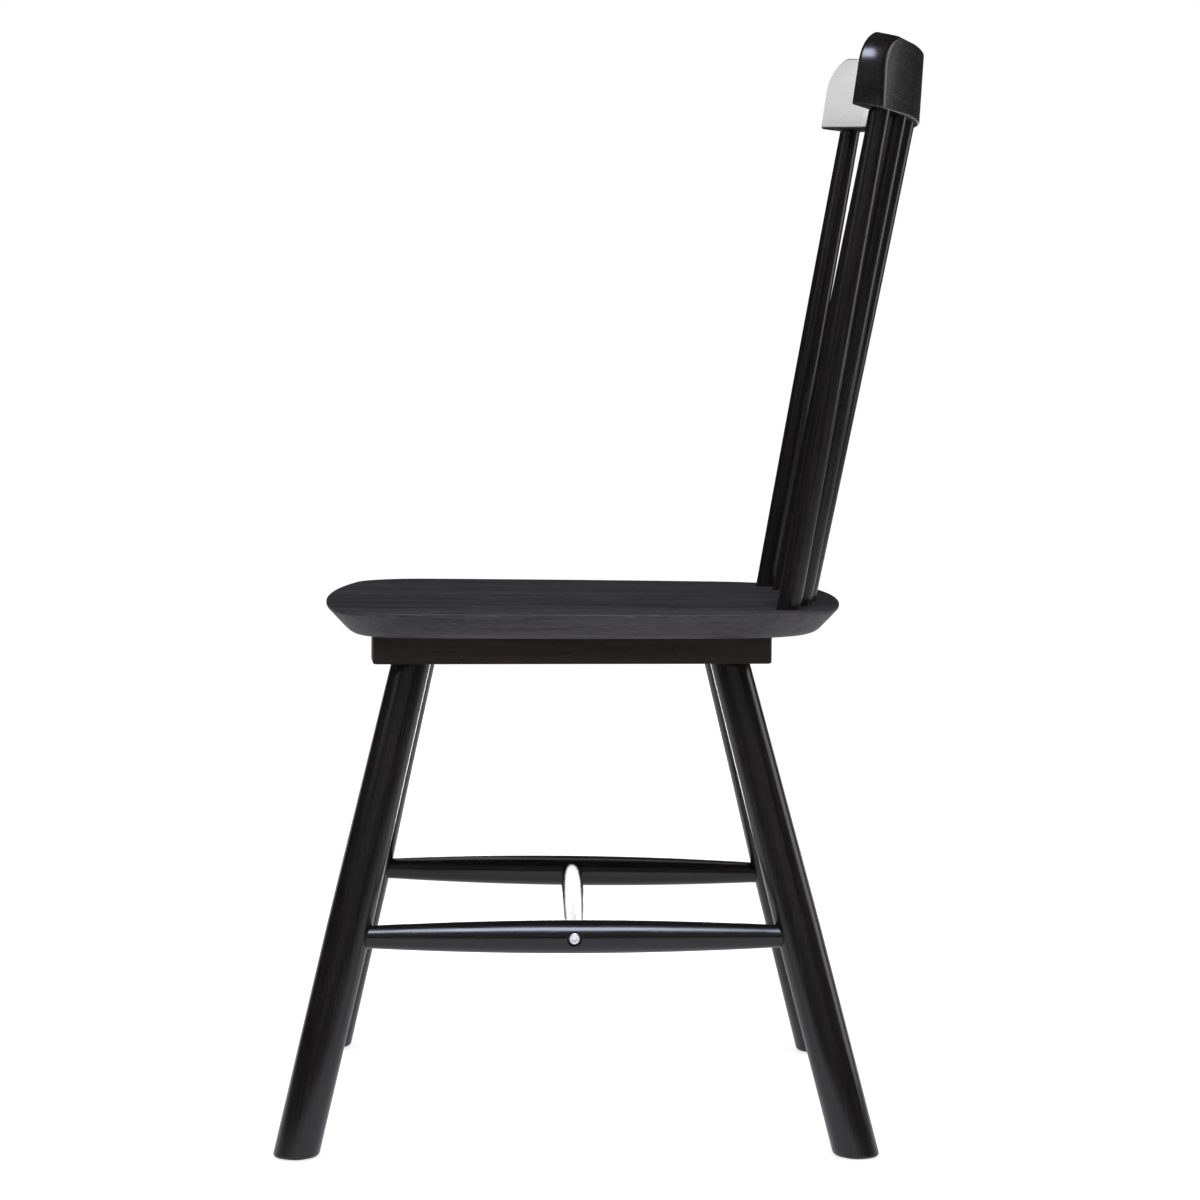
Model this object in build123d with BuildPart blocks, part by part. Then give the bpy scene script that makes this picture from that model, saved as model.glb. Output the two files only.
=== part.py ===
from build123d import *

import os
from math import asin, cos, radians, sin, sqrt

# A spindle-back dining chair of turned and sawn rubberwood, in millimetres.
# X runs across the chair (+X is the sitter's left), Y from front to rear, Z up from the floor.
# The origin is on the floor, under the middle of the chair's overall width and depth.

# Seat board
seat_height = 450.0            # top of the seat above the floor
seat_thickness = 22.0
seat_front_width = 434.0       # across the front corners, before they are rounded
seat_narrowing = 44.0          # how much narrower it is across the rear corners
seat_depth = 449.0             # front edge to rear edge, on the centre line
seat_front_bow = 25.0          # how far the front edge swells ahead of its corners
seat_rear_bow = 28.0           # how far the rear edge swells behind its corners
seat_side_bow = 8.0            # how far each side swells out from a straight line
seat_front_corner = 65.0       # corner radii in plan
seat_rear_corner = 100.0
seat_lip = 3.0                 # upright edge left above the under-bevel
seat_bevel_inset = 18.0        # how far the under-bevel cuts in under the seat
seat_bevel_round = 14.0        # radius between the bevel and the underside
seat_edge_round = 1.5          # radius of the top edge

# Cleats under the seat, one at each side, parallel to the line of the leg tops
cleat_width = 50.0
cleat_thickness = 24.0
cleat_overhang = 33.0          # how far a cleat runs on past the centre of each leg
cleat_corner = 5.0
cleat_edge_round = 1.5

# Legs: where their centres meet the cleats, and how far the feet stand out from there
leg_side_inset = 71.0          # leg tops inside the seat's corners
front_leg_inset = 79.0         # front leg tops behind the seat's front edge
rear_leg_inset = 100.5         # rear leg tops ahead of the seat's rear edge
front_leg_splay = 81.0         # sideways
front_leg_rake = 91.0          # forwards
rear_leg_splay = 92.0          # sideways
rear_leg_rake = 105.0          # rearwards
leg_diameter = 37.4
leg_top_diameter = 32.6
leg_taper_start = 183.0        # height above which a leg tapers
leg_foot_chamfer = 3.0
leg_tenon_diameter = 24.0
leg_tenon_length = 17.0

# Glides pushed into the feet
glide_diameter = 26.0
glide_recess = 2.0             # how deep the glide's disc sits in the foot
glide_proud = 1.0              # how far the disc stands out of the foot
glide_stem_diameter = 6.0
glide_stem_length = 10.0
glide_edge = 0.5

# Side stretchers
stretcher_height = 177.5       # centre line above the floor
stretcher_middle_diameter = 28.0
stretcher_end_diameter = 19.2
stretcher_past_centre = 4.0    # how far the end runs past the centre of the leg
stretcher_clear_of_leg = 3.0   # straight end that still shows outside the leg

# Cross stretcher
cross_middle_diameter = 20.4
cross_end_diameter = 18.0
cross_seat_depth = 5.0         # how deep its end sits in the side stretcher

# Back spindles
spindle_count = 7
spindle_side_inset = 51.5      # outer spindles' centres inside the seat's rear corners
spindle_base_sag = 22.0        # how far the middle spindle stands behind the outer ones at the seat
spindle_seat_setback = 30.5    # middle spindle's centre ahead of the seat's rear edge
spindle_crest_span = 286.0     # outer spindles, centre to centre at the crest rail
spindle_crest_inset = 12.5     # spindle centres ahead of the crest rail's rear face
spindle_base_diameter = 20.4
spindle_middle_diameter = 20.2
spindle_top_diameter = 17.0
spindle_base_tenon_diameter = 16.0
spindle_base_tenon_length = 15.0
spindle_top_tenon_diameter = 12.0
spindle_top_tenon_length = 24.0

# Crest rail: an arc lying in a plane that tilts back, thinner at its top
crest_rise = 413.6             # seat top to the rail's lowest edge, at the middle
crest_overhang = 65.8          # that edge's distance behind the seat's rear edge
crest_tilt = 6.5               # degrees
crest_rear_radius = 328.0
crest_half_length = 165.9      # from the middle to each end, cut square to the chair
crest_height = 65.3
crest_bottom_thickness = 25.0
crest_thinning = 3.8           # how far each broad face draws in by the top
crest_corner = 28.0            # radius of the two upper corners
crest_end_round = 10.0         # rounding of the rear arrises at the ends
crest_front_round = 3.0        # rounding of the front arrises
crest_bottom_round = 2.5

# Fasteners
bolt_diameter = 6.0
bolt_head_diameter = 10.4
bolt_head_height = 6.0
bolt_head_round = 2.0          # dome of the head
bolt_key_width = 5.0           # across the flats of the hexagon socket
bolt_key_depth = 3.0
cross_bolt_length = 40.0
cross_bolt_sink = 7.5          # counterbore depth in the side stretcher
cross_bolt_bore_diameter = 12.6
seat_bolt_length = 26.0
seat_bolt_spacing = 150.0
seat_bolt_sink = 9.0           # counterbore depth in the cleat
seat_bolt_bore_diameter = 17.0
washer_diameter = 15.0
washer_thickness = 1.5
insert_diameter = 10.0
cross_insert_length = 20.0
seat_insert_length = 13.0

# Clearances
glue_gap = 0.15                # all round a tenon, stem or insert
tip_gap = 0.5                  # beyond the end of a tenon or bolt
thread_gap = 0.1               # all round a bolt's shank in its insert
bolt_gap = 0.4                 # all round a bolt's shank in wood
tip_chamfer = 1.0              # on the ends of tenons
hole_overrun = 40.0            # how far a cutting tool starts outside the wood

os.makedirs("parts", exist_ok=True)

sides = {"left": 1, "right": -1}
ends = ("front", "rear")

# Sizes that follow from the ones above
seat_rear_width = seat_front_width - seat_narrowing
spindle_base_span = seat_rear_width - 2 * spindle_side_inset
seat_bottom = seat_height - seat_thickness
cleat_bottom = seat_bottom - cleat_thickness

# The seat's place: the front feet and the crest rail are the foremost and rearmost points
foot_reach = leg_diameter / 2 * sqrt(1 + (front_leg_rake / cleat_bottom) ** 2)
front_overhang = front_leg_rake - front_leg_inset + foot_reach
crest_lean = crest_height * sin(radians(crest_tilt)) - crest_thinning
overall_depth = front_overhang + seat_depth + crest_overhang + crest_lean
seat_front = front_overhang - overall_depth / 2
seat_rear = seat_front + seat_depth

# The plane of the crest rail's underside: its origin is the middle of the rear edge, its Y runs rearwards
crest_up = Vector(0, sin(radians(crest_tilt)), cos(radians(crest_tilt)))
crest_plane = Plane(
    origin=(0, seat_rear + crest_overhang, seat_height + crest_rise),
    x_dir=(1, 0, 0),
    z_dir=crest_up,
)


def leg_point(end, side, height):
    """Point of a leg's centre line at a height above the floor."""
    if end == "front":
        top_x = seat_front_width / 2 - leg_side_inset
        top_y = seat_front + front_leg_inset
        foot_x = top_x + front_leg_splay
        foot_y = top_y - front_leg_rake
    else:
        top_x = seat_rear_width / 2 - leg_side_inset
        top_y = seat_rear - rear_leg_inset
        foot_x = top_x + rear_leg_splay
        foot_y = top_y + rear_leg_rake
    foot = Vector(side * foot_x, foot_y, 0)
    top = Vector(side * top_x, top_y, cleat_bottom)
    return foot + (top - foot) * (height / cleat_bottom)


def arc_points(count, span, radius):
    """Places spread evenly along an arc: across the chair, and ahead of the arc's middle."""
    half_angle = asin(span / 2 / radius)
    places = []
    for index in range(count):
        angle = half_angle * (2 * index / (count - 1) - 1)
        places.append((radius * sin(angle), radius * (1 - cos(angle))))
    return places


def spindle_bases():
    """Centres of the spindles on the seat's top."""
    radius = ((spindle_base_span / 2) ** 2 + spindle_base_sag**2) / (2 * spindle_base_sag)
    rear = seat_rear - spindle_seat_setback
    places = arc_points(spindle_count, spindle_base_span, radius)
    return [Vector(across, rear - ahead, seat_height) for across, ahead in places]


def spindle_tops():
    """Centres of the spindles on the crest rail's underside."""
    radius = crest_rear_radius - spindle_crest_inset
    places = arc_points(spindle_count, spindle_crest_span, radius)
    return [crest_plane.from_local_coords((across, -spindle_crest_inset - ahead)) for across, ahead in places]


def turning_plane(start, finish):
    """Plane through a turned piece's centre line: its X runs along the piece from start to finish."""
    across = Plane(origin=start, z_dir=finish - start)
    return Plane(origin=start, x_dir=across.z_dir, z_dir=across.x_dir)


def mouth(point, outward):
    """Plane to bore a blind hole from, with room for the tool outside the wood."""
    return Plane(origin=point + outward * hole_overrun, z_dir=outward)


def finish_piece(builder, name):
    """Name a piece and write it."""
    builder.part.label = name
    export_step(builder.part, f"parts/{name}.step")


def stretcher_ends(side):
    """Points where a side stretcher's centre line crosses its two legs' centre lines."""
    return leg_point("front", side, stretcher_height), leg_point("rear", side, stretcher_height)


def cleat_plane(side):
    """Underside of a cleat: origin midway between the legs, X from the front leg to the rear one."""
    front_top = leg_point("front", side, cleat_bottom)
    rear_top = leg_point("rear", side, cleat_bottom)
    return Plane(origin=(front_top + rear_top) / 2, x_dir=rear_top - front_top, z_dir=(0, 0, 1))


def seat_bolt_points(side, height):
    """Places of the two bolts of one cleat, on a level."""
    plane = cleat_plane(side)
    rise = height - cleat_bottom
    return {
        "front": plane.from_local_coords((-seat_bolt_spacing / 2, 0, rise)),
        "rear": plane.from_local_coords((seat_bolt_spacing / 2, 0, rise)),
    }


def cross_axis_point(side):
    """Where the cross stretcher's centre line meets a side stretcher's centre line."""
    front, rear = stretcher_ends(side)
    return (front + rear) / 2


# Half the cross stretcher's length, and the distance of its bolts' heads from the middle of the chair
cross_half_length = cross_axis_point(1).X - stretcher_middle_diameter / 2 + cross_seat_depth
cross_bolt_seat = cross_axis_point(1).X + stretcher_middle_diameter / 2 - cross_bolt_sink
cross_bolt_reach = cross_half_length - (cross_bolt_seat - cross_bolt_length) + tip_gap

# Seat board: bowed outline, upright lip, convex under-bevel, spindle sockets and insert holes
with BuildPart() as seat_board:
    with BuildSketch(Plane.XY.offset(seat_bottom)) as seat_outline:
        with BuildLine():
            front_left = (seat_front_width / 2, seat_front + seat_front_bow)
            front_right = (-seat_front_width / 2, seat_front + seat_front_bow)
            rear_left = (seat_rear_width / 2, seat_rear - seat_rear_bow)
            rear_right = (-seat_rear_width / 2, seat_rear - seat_rear_bow)
            side_middle_x = (seat_front_width + seat_rear_width) / 4 + seat_side_bow
            side_middle_y = (front_left[1] + rear_left[1]) / 2
            ThreePointArc(front_right, (0, seat_front), front_left)
            ThreePointArc(front_left, (side_middle_x, side_middle_y), rear_left)
            ThreePointArc(rear_left, (0, seat_rear), rear_right)
            ThreePointArc(rear_right, (-side_middle_x, side_middle_y), front_right)
        make_face()
        fillet(seat_outline.vertices().group_by(Axis.Y)[0], radius=seat_front_corner)
        fillet(seat_outline.vertices().group_by(Axis.Y)[-1], radius=seat_rear_corner)
    extrude(amount=seat_thickness)
    underside = seat_board.faces().sort_by(Axis.Z)[0]
    bevel_height = seat_thickness - seat_lip
    chamfer(underside.edges(), length=seat_bevel_inset, length2=bevel_height, reference=underside)
    fillet(seat_board.faces().sort_by(Axis.Z)[0].edges(), radius=seat_bevel_round)
    fillet(seat_board.faces().sort_by(Axis.Z)[-1].edges(), radius=seat_edge_round)
    for base, top in zip(spindle_bases(), spindle_tops()):
        with Locations(mouth(base, (top - base).normalized())):
            Hole(
                radius=spindle_base_tenon_diameter / 2 + glue_gap,
                depth=hole_overrun + spindle_base_tenon_length + tip_gap,
            )
    for side in sides.values():
        for point in seat_bolt_points(side, seat_bottom).values():
            with Locations(mouth(point, Vector(0, 0, -1))):
                Hole(radius=insert_diameter / 2 + glue_gap, depth=hole_overrun + seat_insert_length + tip_gap)
finish_piece(seat_board, "seat_board")

# Cleats: sockets for the leg tenons, counterbored holes for the seat bolts
for side_name, side in sides.items():
    cleat_length = (leg_point("rear", side, cleat_bottom) - leg_point("front", side, cleat_bottom)).length
    with BuildPart() as cleat:
        with BuildSketch(cleat_plane(side)):
            RectangleRounded(cleat_length + 2 * cleat_overhang, cleat_width, cleat_corner)
        extrude(amount=cleat_thickness)
        fillet(cleat.faces().sort_by(Axis.Z)[0].edges(), radius=cleat_edge_round)
        for end in ends:
            top = leg_point(end, side, cleat_bottom)
            along = (top - leg_point(end, side, 0)).normalized()
            with Locations(mouth(top, -along)):
                Hole(
                    radius=leg_tenon_diameter / 2 + glue_gap,
                    depth=hole_overrun + leg_tenon_length + tip_gap,
                )
        for point in seat_bolt_points(side, cleat_bottom).values():
            with Locations(Plane(origin=point, z_dir=(0, 0, -1))):
                CounterBoreHole(
                    radius=bolt_diameter / 2 + bolt_gap,
                    counter_bore_radius=seat_bolt_bore_diameter / 2,
                    counter_bore_depth=seat_bolt_sink,
                    depth=cleat_thickness,
                )
    finish_piece(cleat, f"cleat_{side_name}")

# Legs: turned, tapered to the top, cut level at foot and shoulder, with a tenon into the cleat
for side_name, side in sides.items():
    for end in ends:
        foot = leg_point(end, side, 0)
        top = leg_point(end, side, cleat_bottom)
        along = (top - foot).normalized()
        length = (top - foot).length
        taper_start = length * leg_taper_start / cleat_bottom
        stretcher_point = leg_point(end, side, stretcher_height)
        other_point = leg_point("rear" if end == "front" else "front", side, stretcher_height)
        with BuildPart() as leg:
            with BuildSketch(turning_plane(foot, top)):
                with BuildLine():
                    Polyline(
                        (-leg_diameter, 0),
                        (-leg_diameter, leg_diameter / 2),
                        (taper_start, leg_diameter / 2),
                        (length, leg_top_diameter / 2),
                        (length + leg_diameter, leg_top_diameter / 2),
                        (length + leg_diameter, 0),
                        close=True,
                    )
                make_face()
            revolve(axis=Axis(foot, along))
            split(bisect_by=Plane.XY.offset(glide_proud), keep=Keep.TOP)
            split(bisect_by=Plane.XY.offset(cleat_bottom), keep=Keep.BOTTOM)
            chamfer(leg.faces().sort_by(Axis.Z)[0].edges(), length=leg_foot_chamfer)
            with BuildSketch(Plane(origin=top - along * leg_diameter, z_dir=along)):
                Circle(leg_tenon_diameter / 2)
            extrude(amount=leg_diameter + leg_tenon_length)
            chamfer(leg.faces().sort_by(Axis.Z)[-1].edges(), length=tip_chamfer)
            with Locations(mouth(stretcher_point, (other_point - stretcher_point).normalized())):
                Hole(
                    radius=stretcher_end_diameter / 2 + glue_gap,
                    depth=hole_overrun + stretcher_past_centre + tip_gap,
                )
            with Locations(mouth(foot, Vector(0, 0, -1))):
                Hole(
                    radius=glide_diameter / 2 + glue_gap,
                    depth=hole_overrun + glide_proud + glide_recess,
                )
                Hole(
                    radius=glide_stem_diameter / 2 + glue_gap,
                    depth=hole_overrun + glide_proud + glide_recess + glide_stem_length + tip_gap,
                )
        finish_piece(leg, f"leg_{end}_{side_name}")

# Glides: a disc with a stem, standing on the floor
for side_name, side in sides.items():
    for end in ends:
        foot = leg_point(end, side, 0)
        with BuildPart() as glide:
            with BuildSketch(Plane(origin=foot)):
                Circle(glide_diameter / 2)
            extrude(amount=glide_proud + glide_recess)
            chamfer(glide.faces().sort_by(Axis.Z)[0].edges(), length=glide_edge)
            with BuildSketch(Plane(origin=foot).offset(glide_proud + glide_recess)):
                Circle(glide_stem_diameter / 2)
            extrude(amount=glide_stem_length)
            chamfer(glide.faces().sort_by(Axis.Z)[-1].edges(), length=glide_edge)
        finish_piece(glide, f"glide_{end}_{side_name}")

# Side stretchers: swollen in the middle, straight where they enter the legs, bored for the cross bolt
for side_name, side in sides.items():
    front, rear = stretcher_ends(side)
    along = (rear - front).normalized()
    length = (rear - front).length
    straight = leg_diameter / 2 + stretcher_clear_of_leg
    end_radius = stretcher_end_diameter / 2
    with BuildPart() as side_stretcher:
        with BuildSketch(turning_plane(front, rear)):
            with BuildLine():
                Polyline(
                    (straight, end_radius),
                    (tip_chamfer - stretcher_past_centre, end_radius),
                    (-stretcher_past_centre, end_radius - tip_chamfer),
                    (-stretcher_past_centre, 0),
                    (length + stretcher_past_centre, 0),
                    (length + stretcher_past_centre, end_radius - tip_chamfer),
                    (length + stretcher_past_centre - tip_chamfer, end_radius),
                    (length - straight, end_radius),
                )
                ThreePointArc(
                    (length - straight, end_radius),
                    (length / 2, stretcher_middle_diameter / 2),
                    (straight, end_radius),
                )
            make_face()
        revolve(axis=Axis(front, along))
        inward = Vector(-side, 0, 0)
        inner_face = cross_axis_point(side) + inward * (stretcher_middle_diameter / 2)
        outer_face = cross_axis_point(side) - inward * (stretcher_middle_diameter / 2)
        with Locations(mouth(inner_face, inward)):
            Hole(radius=cross_end_diameter / 2 + glue_gap, depth=hole_overrun + cross_seat_depth)
        with Locations(Plane(origin=outer_face, z_dir=-inward)):
            CounterBoreHole(
                radius=bolt_diameter / 2 + bolt_gap,
                counter_bore_radius=cross_bolt_bore_diameter / 2,
                counter_bore_depth=cross_bolt_sink,
                depth=stretcher_middle_diameter,
            )
    finish_piece(side_stretcher, f"side_stretcher_{side_name}")

# Cross stretcher: straight ends seated in the side stretchers, bored for the inserts
with BuildPart() as cross_stretcher:
    cross_middle = Vector(0, cross_axis_point(1).Y, stretcher_height)
    cross_start = cross_middle - Vector(cross_half_length, 0, 0)
    cross_finish = cross_middle + Vector(cross_half_length, 0, 0)
    cross_straight = cross_seat_depth + stretcher_clear_of_leg
    with BuildSketch(turning_plane(cross_start, cross_finish)):
        with BuildLine():
            Polyline(
                (cross_straight, cross_end_diameter / 2),
                (0, cross_end_diameter / 2),
                (0, 0),
                (2 * cross_half_length, 0),
                (2 * cross_half_length, cross_end_diameter / 2),
                (2 * cross_half_length - cross_straight, cross_end_diameter / 2),
            )
            ThreePointArc(
                (2 * cross_half_length - cross_straight, cross_end_diameter / 2),
                (cross_half_length, cross_middle_diameter / 2),
                (cross_straight, cross_end_diameter / 2),
            )
        make_face()
    revolve(axis=Axis(cross_start, Vector(1, 0, 0)))
    for side in sides.values():
        end_centre = cross_middle + Vector(side * cross_half_length, 0, 0)
        with Locations(mouth(end_centre, Vector(side, 0, 0))):
            Hole(radius=insert_diameter / 2 + glue_gap, depth=hole_overrun + cross_insert_length + tip_gap)
            Hole(radius=bolt_diameter / 2 + bolt_gap, depth=hole_overrun + cross_bolt_reach)
finish_piece(cross_stretcher, "cross_stretcher")

# Spindles: turned with a slow taper, cut to the seat and to the rail's underside, a tenon at each end
for number, (base, top) in enumerate(zip(spindle_bases(), spindle_tops()), start=1):
    along = (top - base).normalized()
    length = (top - base).length
    extra = spindle_base_diameter
    with BuildPart() as spindle:
        with BuildSketch(turning_plane(base, top)):
            with BuildLine():
                Polyline(
                    (0, spindle_base_diameter / 2),
                    (-extra, spindle_base_diameter / 2),
                    (-extra, 0),
                    (length + extra, 0),
                    (length + extra, spindle_top_diameter / 2),
                    (length, spindle_top_diameter / 2),
                )
                ThreePointArc(
                    (length, spindle_top_diameter / 2),
                    (length / 2, spindle_middle_diameter / 2),
                    (0, spindle_base_diameter / 2),
                )
            make_face()
        revolve(axis=Axis(base, along))
        split(bisect_by=Plane.XY.offset(seat_height), keep=Keep.TOP)
        split(bisect_by=crest_plane, keep=Keep.BOTTOM)
        with BuildSketch(Plane(origin=base + along * extra, z_dir=-along)):
            Circle(spindle_base_tenon_diameter / 2)
        extrude(amount=extra + spindle_base_tenon_length)
        chamfer(spindle.faces().sort_by(Axis.Z)[0].edges(), length=tip_chamfer)
        with BuildSketch(Plane(origin=top - along * extra, z_dir=along)):
            Circle(spindle_top_tenon_diameter / 2)
        extrude(amount=extra + spindle_top_tenon_length)
        chamfer(spindle.faces().sort_by(Axis.Z)[-1].edges(), length=tip_chamfer)
    finish_piece(spindle, f"spindle_{number}")

# Crest rail: lofted thinner towards the top, cut to an outline with round corners, a socket for each spindle
with BuildPart() as crest_rail:
    for rise, thinning in ((0, 0), (crest_height, crest_thinning)):
        rear_radius = crest_rear_radius - thinning
        front_radius = crest_rear_radius - crest_bottom_thickness + thinning
        rear_y = sqrt(rear_radius**2 - crest_half_length**2) - crest_rear_radius
        front_y = sqrt(front_radius**2 - crest_half_length**2) - crest_rear_radius
        with BuildSketch(crest_plane.offset(rise)) as section:
            with BuildLine():
                left, right = crest_half_length, -crest_half_length
                ThreePointArc((left, rear_y), (0, rear_radius - crest_rear_radius), (right, rear_y))
                Line((right, rear_y), (right, front_y))
                ThreePointArc((right, front_y), (0, front_radius - crest_rear_radius), (left, front_y))
                Line((left, front_y), (left, rear_y))
            make_face()
            fillet(section.vertices().sort_by(Axis.Y)[-2:], radius=crest_end_round)
    loft(ruled=True)
    crest_front_plane = Plane(origin=crest_plane.origin, x_dir=crest_plane.x_dir, z_dir=-crest_plane.y_dir)
    with BuildSketch(crest_front_plane) as outline:
        with Locations((0, crest_height / 2)):
            Rectangle(2 * crest_half_length, crest_height)
        fillet(outline.vertices().sort_by(Axis.Y)[-2:], radius=crest_corner)
    extrude(amount=crest_rear_radius, both=True, mode=Mode.INTERSECT)
    crest_axis = Axis(crest_plane.origin, crest_up)
    bottom_face = crest_rail.faces().sort_by(crest_axis)[0]
    front_face = crest_rail.faces().sort_by(SortBy.AREA)[-2:].sort_by(Axis.Y)[0]
    fillet(front_face.edges() - bottom_face.edges(), radius=crest_front_round)
    fillet(crest_rail.faces().sort_by(crest_axis)[0].edges(), radius=crest_bottom_round)
    for base, top in zip(spindle_bases(), spindle_tops()):
        with Locations(mouth(top, (base - top).normalized())):
            Hole(
                radius=spindle_top_tenon_diameter / 2 + glue_gap,
                depth=hole_overrun + spindle_top_tenon_length + tip_gap,
            )
finish_piece(crest_rail, "crest_rail")


def socket_bolt(plane, length):
    """Domed bolt with a hexagon socket: the plane is the head's seat, its Z points out of the head."""
    with BuildPart() as bolt:
        with BuildSketch(plane):
            Circle(bolt_head_diameter / 2)
        extrude(amount=bolt_head_height)
        head_top = bolt.faces().sort_by(Axis(plane.origin, plane.z_dir))[-1]
        fillet(head_top.edges(), radius=bolt_head_round)
        with BuildSketch(plane.offset(bolt_head_height)):
            RegularPolygon(bolt_key_width / 2, side_count=6, major_radius=False)
        extrude(amount=-bolt_key_depth, mode=Mode.SUBTRACT)
        with BuildSketch(plane):
            Circle(bolt_diameter / 2)
        extrude(amount=-length)
    return bolt


def threaded_insert(plane, length):
    """Sleeve for a bolt: the plane is its outer end, its Z points out of the wood."""
    with BuildPart() as insert:
        with BuildSketch(plane):
            Circle(insert_diameter / 2)
            Circle(bolt_diameter / 2 + thread_gap, mode=Mode.SUBTRACT)
        extrude(amount=-length)
    return insert


# Cross bolts, and their inserts in the cross stretcher's ends
for side_name, side in sides.items():
    outward = Vector(side, 0, 0)
    head_seat = Plane(origin=cross_middle + outward * cross_bolt_seat, z_dir=outward)
    insert_end = Plane(origin=cross_middle + outward * cross_half_length, z_dir=outward)
    finish_piece(socket_bolt(head_seat, cross_bolt_length), f"cross_bolt_{side_name}")
    finish_piece(threaded_insert(insert_end, cross_insert_length), f"cross_insert_{side_name}")

# Seat bolts with their washers, and the inserts in the seat
for side_name, side in sides.items():
    bore_ceiling = seat_bolt_points(side, cleat_bottom + seat_bolt_sink)
    insert_mouths = seat_bolt_points(side, seat_bottom)
    for end in ends:
        washer_plane = Plane(origin=bore_ceiling[end], z_dir=(0, 0, -1))
        with BuildPart() as washer:
            with BuildSketch(washer_plane):
                Circle(washer_diameter / 2)
                Circle(bolt_diameter / 2 + bolt_gap, mode=Mode.SUBTRACT)
            extrude(amount=washer_thickness)
        finish_piece(washer, f"seat_washer_{end}_{side_name}")
        head_seat = washer_plane.offset(washer_thickness)
        insert_end = Plane(origin=insert_mouths[end], z_dir=(0, 0, -1))
        finish_piece(socket_bolt(head_seat, seat_bolt_length), f"seat_bolt_{end}_{side_name}")
        finish_piece(threaded_insert(insert_end, seat_insert_length), f"seat_insert_{end}_{side_name}")
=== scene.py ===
"""Black-stained rubberwood spindle-back chair: its finished look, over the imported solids."""

import logging
import math
from contextlib import contextmanager
from dataclasses import dataclass
from enum import Enum
from typing import Any, Callable, Iterator, Sequence

import bmesh
import bpy
from mathutils import Matrix, Vector


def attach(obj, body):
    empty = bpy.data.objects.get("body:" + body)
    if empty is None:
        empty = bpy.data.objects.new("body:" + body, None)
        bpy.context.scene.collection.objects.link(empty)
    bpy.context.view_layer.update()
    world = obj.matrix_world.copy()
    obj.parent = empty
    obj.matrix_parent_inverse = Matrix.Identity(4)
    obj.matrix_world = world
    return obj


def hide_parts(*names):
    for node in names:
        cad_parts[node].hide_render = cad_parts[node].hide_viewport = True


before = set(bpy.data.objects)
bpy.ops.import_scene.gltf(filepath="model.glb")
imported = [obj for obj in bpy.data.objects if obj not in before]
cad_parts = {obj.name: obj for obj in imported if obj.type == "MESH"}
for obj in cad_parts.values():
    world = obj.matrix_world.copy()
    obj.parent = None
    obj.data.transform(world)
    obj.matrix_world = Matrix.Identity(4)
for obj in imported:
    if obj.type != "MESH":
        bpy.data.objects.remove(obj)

LOG = logging.getLogger("chair")
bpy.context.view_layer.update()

GRAIN = "grain"                # the attribute that holds a point's place in its plank or billet
NEAR = 1e-5                    # metres within which two heights count as the same
WELD = 1e-6                    # metres within which two points are merged
BEYOND = 0.01                  # metres that a drill starts outside a piece
UP, DOWN = Vector((0, 0, 1)), Vector((0, 0, -1))
STRAY = Vector((1.0, 0.37, 2.1))    # the way through the timber from one piece's spot to the next

Piece = bpy.types.Object
Material = bpy.types.Material
NodeTree = bpy.types.NodeTree
Socket = bpy.types.NodeSocket
Point = tuple[float, float, float]
Station = tuple[float, float]  # height and radius on the lathe
Circle = tuple[Vector, float]  # centre and radius in plan


class Side(Enum):
    """The sitter's side of the chair, and the sign of its X."""

    LEFT = 1
    RIGHT = -1

    @property
    def word(self) -> str:
        """The side's word in a node's name."""
        return self.name.lower()


class End(Enum):
    """The end of the chair that a leg or a bolt belongs to."""

    FRONT = "front"
    REAR = "rear"


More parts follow.
